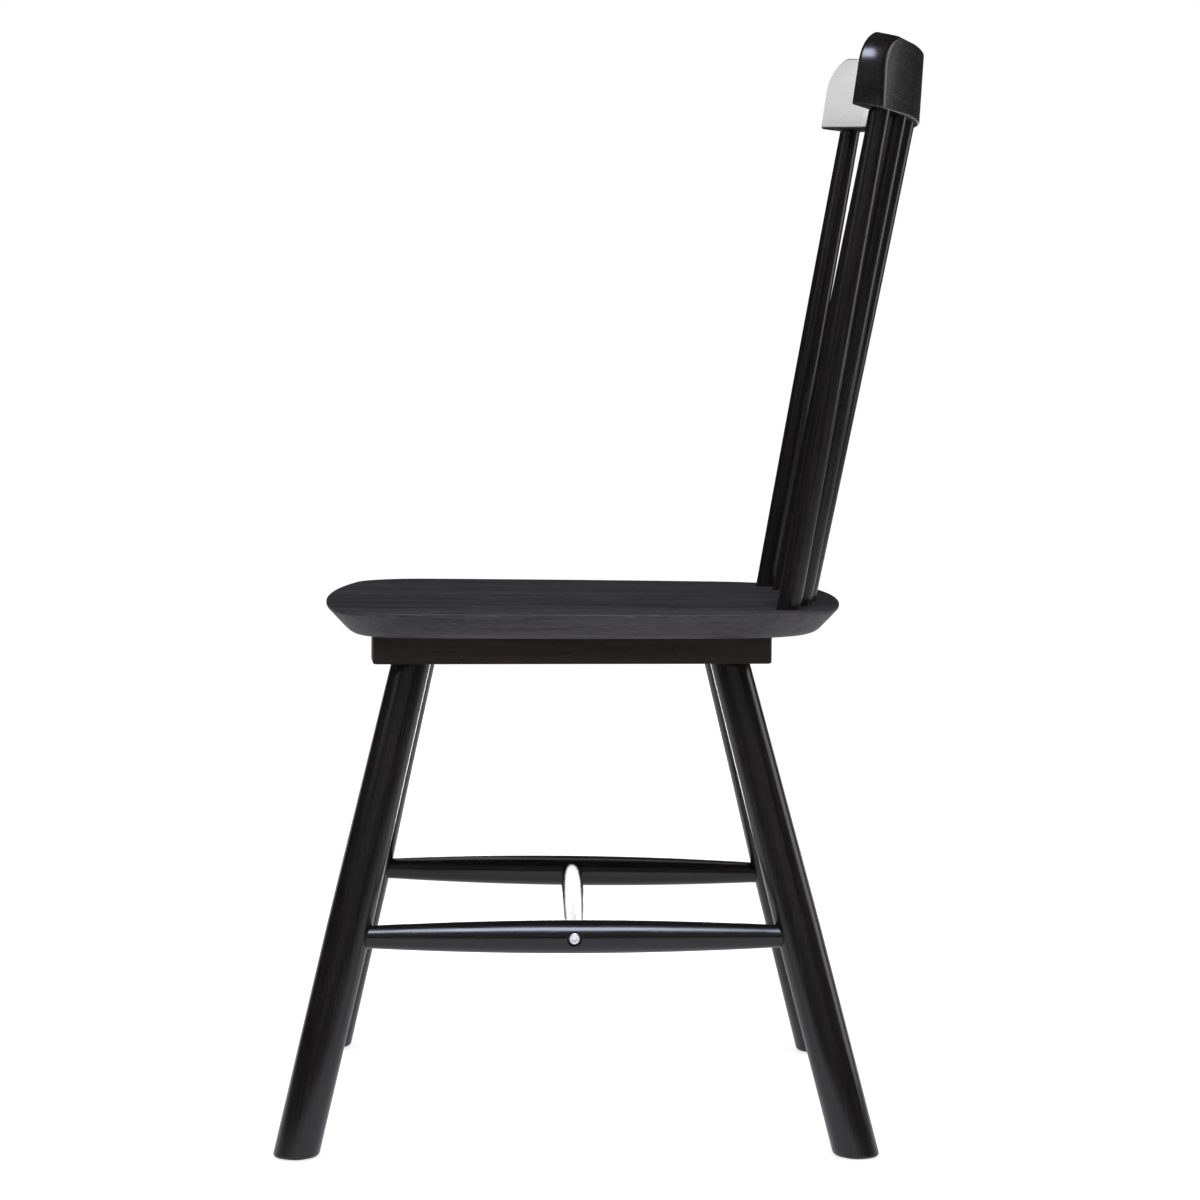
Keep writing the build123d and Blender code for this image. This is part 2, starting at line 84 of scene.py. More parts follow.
@dataclass(frozen=True)
class ChairPlan:
    """The chair's driving sizes in metres, as in its solids, and the points that follow from them."""

    seat_height: float = 0.450
    seat_thickness: float = 0.022
    seat_front_width: float = 0.434
    seat_rear_width: float = 0.390
    seat_depth: float = 0.449
    cleat_thickness: float = 0.024
    leg_side_inset: float = 0.071
    front_leg_inset: float = 0.079
    rear_leg_inset: float = 0.1005
    front_leg_splay: float = 0.081
    front_leg_rake: float = 0.091
    rear_leg_splay: float = 0.092
    rear_leg_rake: float = 0.105
    leg_diameter: float = 0.0374
    stretcher_height: float = 0.1775
    crest_rise: float = 0.4136
    crest_overhang: float = 0.0658
    crest_tilt: float = 6.5        # degrees
    crest_height: float = 0.0653
    crest_thinning: float = 0.0038
    crest_rear_radius: float = 0.328

    @property
    def seat_bottom(self) -> float:
        """Height of the seat's underside."""
        return self.seat_height - self.seat_thickness

    @property
    def cleat_bottom(self) -> float:
        """Height of the cleats' underside, where the legs stop."""
        return self.seat_bottom - self.cleat_thickness

    @property
    def seat_front(self) -> float:
        """Y of the seat's front edge, with the chair's depth centred on the origin."""
        reach = self.leg_diameter / 2 * math.hypot(1, self.front_leg_rake / self.cleat_bottom)
        overhang = self.front_leg_rake - self.front_leg_inset + reach
        lean = self.crest_height * math.sin(math.radians(self.crest_tilt)) - self.crest_thinning
        return overhang - (overhang + self.seat_depth + self.crest_overhang + lean) / 2

    @property
    def seat_rear(self) -> float:
        """Y of the seat's rear edge."""
        return self.seat_front + self.seat_depth

    def leg_point(self, end: End, side: Side, height: float) -> Vector:
        """Find a point on a leg's centre line.

        Args:
            end: The leg's end of the chair.
            side: The leg's side of the chair.
            height: Height of the point above the floor.

        Returns:
            The point in the row frame.
        """
        if end is End.FRONT:
            top = Vector((self.seat_front_width / 2 - self.leg_side_inset,
                          self.seat_front + self.front_leg_inset, self.cleat_bottom))
            foot = top + Vector((self.front_leg_splay, -self.front_leg_rake, -self.cleat_bottom))
        else:
            top = Vector((self.seat_rear_width / 2 - self.leg_side_inset,
                          self.seat_rear - self.rear_leg_inset, self.cleat_bottom))
            foot = top + Vector((self.rear_leg_splay, self.rear_leg_rake, -self.cleat_bottom))
        point = foot.lerp(top, height / self.cleat_bottom)
        point.x *= side.value
        return point

    def leg_pair(self, side: Side, height: float) -> tuple[Vector, Vector]:
        """Points at one height on the front and the rear leg of a side."""
        return self.leg_point(End.FRONT, side, height), self.leg_point(End.REAR, side, height)

    def crest_frame(self) -> Matrix:
        """The crest rail's frame: origin at the middle of its lower rear edge, Y rearwards, Z up it."""
        tilt = Matrix.Rotation(-math.radians(self.crest_tilt), 4, "X")
        place = Vector((0, self.seat_rear + self.crest_overhang, self.seat_height + self.crest_rise))
        return Matrix.Translation(place) @ tilt


def to_linear(colour: str) -> tuple[float, float, float, float]:
    """Turn an sRGB hex colour into linear light.

    Args:
        colour: The colour as "#rrggbb".

    Returns:
        Linear red, green and blue, and an alpha of 1.
    """
    channels = [int(colour[start:start + 2], 16) / 255 for start in (1, 3, 5)]
    linear = [c / 12.92 if c <= 0.04045 else ((c + 0.055) / 1.055) ** 2.4 for c in channels]
    return linear[0], linear[1], linear[2], 1.0


def add_node(tree: NodeTree, kind: str, inputs: dict[Any, Any] | None = None,
             **settings: Any) -> bpy.types.Node:
    """Add a node to a tree, with its settings and links.

    Args:
        tree: The node tree.
        kind: The node's type, without the words that all of them start with.
        inputs: Values or output sockets for its inputs, by socket name or number.
        settings: Attributes of the node itself.

    Returns:
        The new node.
    """
    node = tree.nodes.new(f"ShaderNode{kind}")
    for name, value in settings.items():
        setattr(node, name, value)
    for name, value in (inputs or {}).items():
        if isinstance(value, Socket):
            tree.links.new(value, node.inputs[name])
        else:
            node.inputs[name].default_value = value
    return node


def start_material(name: str) -> tuple[Material, NodeTree]:
    """Start an empty node material and return it with its tree."""
    material = bpy.data.materials.new(name)
    material.use_nodes = True
    material.node_tree.nodes.clear()
    return material, material.node_tree


@dataclass(frozen=True)
class StainedRubberwood:
    """Rubberwood, stained black and lacquered.

    The stain leaves the wood nearly black with slightly paler streaks where it took less. Open pores
    run along the grain as short dashes, and the lacquer keeps a soft gloss that the fibres break up.
    """

    name: str
    stain: str                     # where the stain took fully
    thin_stain: str                # where it took less
    roughness: tuple[float, float]
    specular: float
    streak_mm: tuple[float, float] = (7.0, 150.0)
    # fibres and pores of rubberwood are about 0.1 to 0.3 mm wide; drawn coarser, so that they show
    fibre_mm: tuple[float, float] = (1.3, 45.0)
    pore_mm: tuple[float, float] = (0.8, 9.0)
    pore: str = "#060506"          # dark for real pores; pale is a painted glint of the lacquer in them
    pore_noise: tuple[float, float] = (0.62, 0.8)   # where in its noise a pore starts and is full
    pore_cover: float = 0.6        # how far a full pore hides the stain
    pore_sink: float = -0.8        # its depth against the height of the fibres
    relief_mm: float = 0.05
    stave_mm: float = 0.0          # width of the glued staves of a board, or none
    stave_tone: float = 0.22       # how much the staves differ
    tone_range: tuple[float, float] = (0.75, 1.35)  # from fully to thinly stained
    gloss_range: tuple[float, float] = (0.3, 0.7)   # from glossy to dull fibres

    def stretched(self, tree: NodeTree, grain: Socket, size_mm: tuple[float, float],
                  detail: float) -> Socket:
        """Add a noise drawn out along the grain.

        Args:
            tree: The material's nodes.
            grain: The place in the wood.
            size_mm: Width and length of a mark.
            detail: The noise's detail.

        Returns:
            The noise's value.
        """
        across, along = (1000 / size for size in size_mm)
        place = add_node(tree, "Mapping", {"Vector": grain, "Scale": (across, across, along)})
        noise = add_node(tree, "TexNoise", {"Vector": place.outputs[0], "Scale": 1.0, "Detail": detail,
                                            "Roughness": 0.6})
        return noise.outputs["Fac"]

    def make(self) -> Material:
        """Build the material and return it."""
        material, tree = start_material(self.name)
        grain = add_node(tree, "Attribute", attribute_name=GRAIN).outputs["Vector"]
        streaks = self.stretched(tree, grain, self.streak_mm, 3.0)
        fibres = self.stretched(tree, grain, self.fibre_mm, 2.0)
        pores = self.stretched(tree, grain, self.pore_mm, 0.0)
        start, full = self.pore_noise
        open_pore = add_node(tree, "MapRange", {"Value": pores, "From Min": start, "From Max": full,
                                                "To Max": self.pore_cover},
                             interpolation_type="SMOOTHSTEP").outputs[0]
        tone = add_node(tree, "Math", {0: streaks, 1: fibres}, operation="ADD").outputs[0]
        if self.stave_mm:
            across = add_node(tree, "SeparateXYZ", {0: grain}).outputs["X"]
            stave = add_node(tree, "Math", {0: across, 1: self.stave_mm / 1000}, operation="SNAP")
            shade = add_node(tree, "TexWhiteNoise", {"W": stave.outputs[0]}, noise_dimensions="1D")
            tone = add_node(tree, "Math", {0: shade.outputs[0], 1: self.stave_tone, 2: tone},
                            operation="MULTIPLY_ADD").outputs[0]
        low, high = self.tone_range
        take = add_node(tree, "MapRange", {"Value": tone, "From Min": low, "From Max": high}).outputs[0]
        stained = add_node(tree, "Mix", {0: take, 6: to_linear(self.stain), 7: to_linear(self.thin_stain)},
                           data_type="RGBA").outputs[2]
        # the pores' colour: real dark pores, and on the sanded board a painted glint
        colour = add_node(tree, "Mix", {0: open_pore, 6: stained, 7: to_linear(self.pore)},
                          data_type="RGBA").outputs[2]
        low, high = self.gloss_range
        gloss = add_node(tree, "MapRange", {"Value": fibres, "From Min": low, "From Max": high,
                                            "To Min": self.roughness[0], "To Max": self.roughness[1]})
        surface = add_node(tree, "Math", {0: open_pore, 1: self.pore_sink, 2: fibres},
                           operation="MULTIPLY_ADD").outputs[0]
        bump = add_node(tree, "Bump", {"Height": surface, "Strength": 1.0, "Distance": self.relief_mm / 1000})
        shader = add_node(tree, "BsdfPrincipled", {
            "Base Color": colour, "Roughness": gloss.outputs[0], "Normal": bump.outputs[0],
            "IOR": 1.5, "Specular IOR Level": self.specular})
        add_node(tree, "OutputMaterial", {0: shader.outputs[0]})
        return material


@dataclass(frozen=True)
class PlatedSteel:
    """Zinc-plated steel or cast zinc: bright, with a mottled surface and a fine crystal grain."""

    name: str
    colour: str
    worn: str
    roughness: tuple[float, float]
    mottle_mm: float = 1.5
    crystal_mm: float = 0.35       # crystals of about 0.1 mm, drawn coarser so that they show
    relief_mm: float = 0.03

    def make(self) -> Material:
        """Build the material and return it."""
        material, tree = start_material(self.name)
        place = add_node(tree, "TexCoord").outputs["Object"]
        mottle = add_node(tree, "TexNoise", {"Vector": place, "Scale": 1000 / self.mottle_mm,
                                             "Detail": 3.0}).outputs["Fac"]
        crystals = add_node(tree, "TexNoise", {"Vector": place, "Scale": 1000 / self.crystal_mm,
                                               "Detail": 1.0}).outputs["Fac"]
        colour = add_node(tree, "Mix", {0: mottle, 6: to_linear(self.colour), 7: to_linear(self.worn)},
                          data_type="RGBA")
        gloss = add_node(tree, "MapRange", {"Value": mottle, "To Min": self.roughness[0],
                                            "To Max": self.roughness[1]})
        bump = add_node(tree, "Bump", {"Height": crystals, "Strength": 0.5,
                                       "Distance": self.relief_mm / 1000})
        shader = add_node(tree, "BsdfPrincipled", {
            "Base Color": colour.outputs[2], "Roughness": gloss.outputs[0], "Metallic": 1.0,
            "Normal": bump.outputs[0]})
        add_node(tree, "OutputMaterial", {0: shader.outputs[0]})
        return material


@dataclass(frozen=True)
class MouldedNylon:
    """Black nylon, injection moulded: even and matt, with a spark-eroded skin scuffed by the floor."""

    name: str = "Moulded black nylon"
    colour: str = "#151516"
    scuffed: str = "#2b2b2c"
    roughness: float = 0.55
    grit_mm: float = 0.5           # grit of about 0.05 mm, drawn coarser so that it shows
    scuff_mm: float = 6.0
    scuff_noise: tuple[float, float] = (0.5, 0.75)  # where in its noise a scuff starts and is full
    relief_mm: float = 0.05

    def make(self) -> Material:
        """Build the material and return it."""
        material, tree = start_material(self.name)
        place = add_node(tree, "TexCoord").outputs["Object"]
        grit = add_node(tree, "TexNoise", {"Vector": place, "Scale": 1000 / self.grit_mm,
                                           "Detail": 2.0}).outputs["Fac"]
        scuff = add_node(tree, "TexNoise", {"Vector": place, "Scale": 1000 / self.scuff_mm,
                                            "Detail": 4.0}).outputs["Fac"]
        start, full = self.scuff_noise
        worn = add_node(tree, "MapRange", {"Value": scuff, "From Min": start, "From Max": full}).outputs[0]
        colour = add_node(tree, "Mix", {0: worn, 6: to_linear(self.colour), 7: to_linear(self.scuffed)},
                          data_type="RGBA")
        bump = add_node(tree, "Bump", {"Height": grit, "Strength": 0.6, "Distance": self.relief_mm / 1000})
        shader = add_node(tree, "BsdfPrincipled", {
            "Base Color": colour.outputs[2], "Roughness": self.roughness, "IOR": 1.53,
            "Normal": bump.outputs[0]})
        add_node(tree, "OutputMaterial", {0: shader.outputs[0]})
        return material


def clear_bench() -> None:
    """Leave edit mode and deselect everything."""
    if bpy.context.object and bpy.context.object.mode != "OBJECT":
        bpy.ops.object.mode_set(mode="OBJECT")
    bpy.ops.object.select_all(action="DESELECT")


def take_up(piece: Piece) -> None:
    """Select one piece alone and make it the active one."""
    clear_bench()
    piece.select_set(True)
    bpy.context.view_layer.objects.active = piece


def discard(*pieces: Piece) -> None:
    """Delete patterns, blanks and tools that are done with."""
    for piece in pieces:
        take_up(piece)
        bpy.ops.object.delete()


@contextmanager
def shaping(piece: Piece) -> Iterator[None]:
    """Hold a piece in edit mode, all of it selected, while its mesh is shaped.

    Args:
        piece: The piece to shape.
    """
    take_up(piece)
    bpy.ops.object.mode_set(mode="EDIT")
    bpy.ops.mesh.select_all(action="SELECT")
    yield
    bpy.ops.object.mode_set(mode="OBJECT")


def add_piece(name: str, primitive: Callable[..., Any], **settings: Any) -> Piece:
    """Add a primitive on a clear bench, its size and place in its mesh.

    Args:
        name: The piece's name.
        primitive: The operator that adds it.
        settings: The operator's settings.

    Returns:
        The new piece.
    """
    clear_bench()
    primitive(**settings)
    piece = bpy.context.object
    piece.name = name
    bpy.ops.object.transform_apply(location=True, rotation=True, scale=True)
    return piece


def modify(piece: Piece, kind: str, **settings: Any) -> None:
    """Put a modifier on a piece and apply it.

    Args:
        piece: The piece.
        kind: The modifier's type.
        settings: The modifier's settings.
    """
    take_up(piece)
    bpy.ops.object.modifier_add(type=kind)
    modifier = piece.modifiers[-1]
    for name, value in settings.items():
        setattr(modifier, name, value)
    bpy.ops.object.modifier_apply(modifier=modifier.name)


def mend_surface() -> None:
    """Merge doubles and turn the normals outwards on the piece in edit mode."""
    bpy.ops.mesh.select_all(action="SELECT")
    bpy.ops.mesh.remove_doubles(threshold=WELD)
    bpy.ops.mesh.normals_make_consistent(inside=False)


def pick_edges(piece: Piece, level: float | None) -> None:
    """Select edges of a piece in edit mode by the places of their ends.

    Args:
        piece: The piece in edit mode.
        level: The height that they lie at, or None for the upright ones.
    """
    bpy.ops.mesh.select_mode(type="EDGE")
    bpy.ops.mesh.select_all(action="DESELECT")
    for edge in bmesh.from_edit_mesh(piece.data).edges:
        a, b = (vertex.co for vertex in edge.verts)
        if level is None:
            edge.select_set((a.xy - b.xy).length < NEAR)
        else:
            edge.select_set(max(abs(a.z - level), abs(b.z - level)) < NEAR)
    bmesh.update_edit_mesh(piece.data)


def ease_edges(piece: Piece, level: float | None, reach: float, segments: int) -> None:
    """Bevel edges of a piece in edit mode.

    Args:
        piece: The piece in edit mode.
        level: The height that they lie at, or None for the upright ones.
        reach: How far the bevel runs from the edge.
        segments: Its facets.
    """
    pick_edges(piece, level)
    bpy.ops.mesh.bevel(offset=reach, segments=segments, affect="EDGES")


def set_place(piece: Piece, place: Matrix) -> None:
    """Move a piece from the origin to its place and put the move into its mesh."""
    take_up(piece)
    piece.matrix_world = place
    bpy.ops.object.transform_apply(location=True, rotation=True, scale=True)


def along_axis(start: Vector, finish: Vector) -> Matrix:
    """Frame whose origin is at one point and whose Z axis, the lathe's, runs to another."""
    return Matrix.Translation(start) @ (finish - start).to_track_quat("Z", "Y").to_matrix().to_4x4()


def turn(name: str, profile: Sequence[Station], around: int) -> Piece:
    """Turn a closed piece about Z: a disc is drawn up, station by station, to the profile.

    Args:
        name: The piece's name.
        profile: Stations from the bottom to the top.
        around: Facets around the piece.

    Returns:
        The turned piece.
    """
    height, radius = profile[0]
    piece = add_piece(name, bpy.ops.mesh.primitive_circle_add, vertices=around, radius=radius,
                      fill_type="NGON", location=(0, 0, height))
    with shaping(piece):
        for (below, old), (here, new) in zip(profile, profile[1:]):
            bpy.ops.mesh.extrude_region_move(TRANSFORM_OT_translate={"value": (0, 0, here - below)})
            bpy.ops.transform.resize(value=(new / old, new / old, 1), center_override=(0, 0, here))
        mend_surface()
    return piece


def arc_profile(count: int, start: float, finish: float,
                radii: tuple[float, float, float]) -> list[Station]:
    """Stations along a turned profile that swells or thins in a parabola through three radii.

    Args:
        count: Number of spaces between stations.
        start: Height of the first station.
        finish: Height of the last one.
        radii: Radius at the start, halfway and at the finish.

    Returns:
        The stations.
    """
    first, middle, last = radii
    swell = middle - (first + last) / 2
    shares = [index / count for index in range(count + 1)]
    return [(start + (finish - start) * t, first + (last - first) * t + 4 * swell * t * (1 - t))
            for t in shares]


def copy_of(piece: Piece, name: str) -> Piece:
    """Copy a piece with its own mesh, under a new name, and return the copy."""
    take_up(piece)
    bpy.ops.object.duplicate(linked=False)
    copy = bpy.context.object
    copy.name = name
    return copy


def saw(piece: Piece, point: Vector, normal: Vector) -> None:
    """Saw a piece through a plane, drop the part that the plane's normal points to and close the cut."""
    with shaping(piece):
        bpy.ops.mesh.bisect(plane_co=point, plane_no=normal, use_fill=True, clear_outer=True)


def bore(piece: Piece, start: Vector, finish: Vector, radius: float, around: int = 48) -> None:
    """Bore a round hole, or with few facets a socket, into a piece.

    Args:
        piece: The piece to bore.
        start: Centre of the hole's far end.
        finish: A point on its axis outside the piece.
        radius: The hole's radius.
        around: Facets around the hole.
    """
    drill = turn("drill", [(0, radius), ((finish - start).length, radius)], around)
    set_place(drill, along_axis(start, finish))
    modify(piece, "BOOLEAN", operation="DIFFERENCE", solver="EXACT", object=drill)
    discard(drill)


def lay_grain(piece: Piece, wood: Matrix, spot: float,
              straighten: Callable[[Vector], Vector] = Vector) -> None:
    """Store on each point its place in the timber, whose Z runs along the grain.

    Args:
        piece: The piece, with its mesh in place.
        wood: Frame of the timber.
        spot: Where in the timber it was cut, so that no two pieces show the same figure.
        straighten: Says where a point of bent timber was before the bending.
    """
    inverse = wood.inverted()
    move = STRAY * spot
    places = [value for point in piece.data.vertices for value in inverse @ straighten(point.co) + move]
    piece.data.attributes.new(GRAIN, "FLOAT_VECTOR", "POINT").data.foreach_set("vector", places)


def fit(piece: Piece, node: str, finish: Material, crease: float = 30.0) -> None:
    """Put a finished piece on the chair in the place of its solid.

    Args:
        piece: The modelled piece.
        node: The solid's node that it replaces.
        finish: Its material.
        crease: Angle in degrees above which an edge stays crisp.
    """
    take_up(piece)
    bpy.ops.object.shade_smooth_by_angle(angle=math.radians(crease))
    piece.data.materials.clear()
    piece.data.materials.append(finish)
    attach(piece, "root")
    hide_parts(node)
    LOG.info("%s: %d faces in place of %s", piece.name, len(piece.data.polygons), node)


@dataclass
class Seat:
    """The seat board: bowed outline, upright lip, under-bevel rounded into the underside."""

    plan: ChairPlan
    front_bow: float = 0.025
    rear_bow: float = 0.028
    side_bow: float = 0.008
    front_corner: float = 0.065
    rear_corner: float = 0.100
    lip: float = 0.003
    bevel_inset: float = 0.018
    bevel_round: float = 0.014
    edge_round: float = 0.0015
    lip_softening: float = 0.0004
    arc_steps: tuple[int, ...] = (12, 16, 20, 16, 12)   # front, corner, side, corner, rear
    spot: float = 0.31

    def circle(self, a: Vector, b: Vector, c: Vector) -> Circle:
        """Find the circle through three points in plan."""
        squares = [point.length_squared for point in (a, b, c)]
        twice = 2 * (a.x * (b.y - c.y) + b.x * (c.y - a.y) + c.x * (a.y - b.y))
        x = sum(s * d for s, d in zip(squares, (b.y - c.y, c.y - a.y, a.y - b.y))) / twice
        y = sum(s * d for s, d in zip(squares, (c.x - b.x, a.x - c.x, b.x - a.x))) / twice
        centre = Vector((x, y))
        return centre, (a - centre).length

    def rounding(self, first: Circle, second: Circle, radius: float, corner: Vector) -> Vector:
        """Find the centre of the circle that rounds a corner between two bowed edges.

        Args:
            first: One edge.
            second: The other edge.
            radius: Radius of the rounding.
            corner: The corner before it is rounded.

        Returns:
            The rounding's centre.
        """
        reach_a, reach_b = first[1] - radius, second[1] - radius
        gap = second[0] - first[0]
        along = (gap.length_squared + reach_a ** 2 - reach_b ** 2) / (2 * gap.length)
        off = math.sqrt(reach_a ** 2 - along ** 2)
        foot = first[0] + gap.normalized() * along
        square = Vector((-gap.y, gap.x)).normalized() * off
        return min(foot + square, foot - square, key=lambda place: (place - corner).length)

    def sweep(self, centre: Vector, start: Vector, finish: Vector, count: int) -> list[Vector]:
        """Points along an arc, without its last one.

        Args:
            centre: The arc's centre.
            start: Its first point.
            finish: Its last point.
            count: How many points.

        Returns:
            The points.
        """
        radius = (start - centre).length
        begin, stop = (math.atan2(end.y - centre.y, end.x - centre.x) for end in (start, finish))
        step = ((stop - begin + math.pi) % math.tau - math.pi) / count
        angles = [begin + step * index for index in range(count)]
        return [centre + radius * Vector((math.cos(angle), math.sin(angle))) for angle in angles]

    def outline(self) -> list[Vector]:
        """Points round the seat's edge in plan, from the front's middle by the left side."""
        plan = self.plan
        front, rear = Vector((0, plan.seat_front)), Vector((0, plan.seat_rear))
        front_left = front + Vector((plan.seat_front_width / 2, self.front_bow))
        rear_left = rear + Vector((plan.seat_rear_width / 2, -self.rear_bow))
        side_middle = (front_left + rear_left) / 2 + Vector((self.side_bow, 0))
        flip = Vector((-1, 1))
        front_edge = self.circle(front_left, front, front_left * flip)
        side_edge = self.circle(front_left, side_middle, rear_left)
        rear_edge = self.circle(rear_left, rear, rear_left * flip)
        front_hub = self.rounding(front_edge, side_edge, self.front_corner, front_left)
        rear_hub = self.rounding(side_edge, rear_edge, self.rear_corner, rear_left)
        joins = ((front_edge, front_hub), (side_edge, front_hub),
                 (side_edge, rear_hub), (rear_edge, rear_hub))
        marks = [front, *(edge[0] + (hub - edge[0]).normalized() * edge[1] for edge, hub in joins), rear]
        hubs = (front_edge[0], front_hub, side_edge[0], rear_hub, rear_edge[0])
        half = [point for hub, start, finish, count in zip(hubs, marks, marks[1:], self.arc_steps)
                for point in self.sweep(hub, start, finish, count)] + [rear]
        return half + [point * flip for point in half[-2:0:-1]]

    def build(self) -> Piece:
        """Model the board and return it."""
        plan, outline = self.plan, self.outline()
        board = add_piece("shaped_seat_board", bpy.ops.mesh.primitive_circle_add, vertices=len(outline),
                          radius=plan.seat_depth / 2, fill_type="NGON")
        # the disc's points are drawn out to the outline
        for point, place in zip(board.data.vertices, outline):
            point.co = (place.x, place.y, plan.seat_height)
        drop = plan.seat_thickness - self.lip
        slope = math.atan2(drop, self.bevel_inset)
        with shaping(board):
            bpy.ops.mesh.normals_make_consistent(inside=False)
            bpy.ops.mesh.extrude_region_move(TRANSFORM_OT_translate={"value": (0, 0, -self.lip)})
            bpy.ops.mesh.inset(thickness=self.bevel_inset, depth=0.0)
            bpy.ops.transform.translate(value=(0, 0, -drop))
            mend_surface()
            ease_edges(board, plan.seat_bottom, self.bevel_round * math.tan(slope / 2), segments=5)
            ease_edges(board, plan.seat_height, self.edge_round, segments=3)
            ease_edges(board, plan.seat_height - self.lip, self.lip_softening, segments=2)
            mend_surface()
        return board

    def dress(self, board: Piece, finish: Material) -> None:
        """Lay the grain from front to rear and fit the board."""
        top = UP * self.plan.seat_height
        lay_grain(board, along_axis(top, top + Vector((0, 1, 0))), self.spot)
        fit(board, "seat_board", finish, crease=25.0)


@dataclass
class Cleats:
    """The two boards under the seat that carry the legs, counterbored for the seat's bolts."""

    plan: ChairPlan
    width: float = 0.050
    overhang: float = 0.033
    corner: float = 0.005
    edge_round: float = 0.0015
    bolt_spacing: float = 0.150
    bolt_sink: float = 0.009
    bore_diameter: float = 0.017
    spot: tuple[float, float] = (0.83, 0.4)     # where they were cut: the middle, and the step to a side

    def leg_tops(self, side: Side) -> tuple[Vector, Vector]:
        """Where a cleat's front and rear leg meet its underside."""
        return self.plan.leg_pair(side, self.plan.cleat_bottom)

    def frame(self, side: Side) -> Matrix:
        """A cleat's frame: origin midway between its legs on the underside, X from front to rear."""
        front, rear = self.leg_tops(side)
        along = rear - front
        heading = Matrix.Rotation(math.atan2(along.y, along.x), 4, "Z")
        return Matrix.Translation((front + rear) / 2) @ heading

    def bolt_place(self, side: Side, end: End, rise: float) -> Vector:
        """Find a point on a seat bolt's axis.

        Args:
            side: The cleat's side.
            end: Which of its two bolts.
            rise: Height above the cleat's underside.

        Returns:
            The point in the row frame.
        """
        step = self.bolt_spacing / 2 * (-1 if end is End.FRONT else 1)
        return self.frame(side) @ Vector((step, 0, rise))

    def build(self, side: Side) -> Piece:
        """Model one side's cleat in its place.

        Args:
            side: The cleat's side.

        Returns:
            The cleat.
        """
        front, rear = self.leg_tops(side)
        length, thick = (rear - front).length + 2 * self.overhang, self.plan.cleat_thickness
        cleat = add_piece(f"shaped_cleat_{side.word}", bpy.ops.mesh.primitive_cube_add, size=1.0,
                          location=(0, 0, thick / 2), scale=(length, self.width, thick))
        with shaping(cleat):
            ease_edges(cleat, None, self.corner, segments=6)
            ease_edges(cleat, 0.0, self.edge_round, segments=3)
            mend_surface()
        set_place(cleat, self.frame(side))
        for end in End:
            bore(cleat, self.bolt_place(side, end, self.bolt_sink), self.bolt_place(side, end, -BEYOND),
                 self.bore_diameter / 2)
        return cleat

    def dress(self, cleat: Piece, side: Side, finish: Material) -> None:
        """Lay the grain along a cleat and fit it."""
        place, (spot, apart) = self.frame(side), self.spot
        wood = along_axis(place.translation, place @ Vector((1, 0, 0)))
        lay_grain(cleat, wood, spot + apart * side.value)
        fit(cleat, f"cleat_{side.word}", finish)


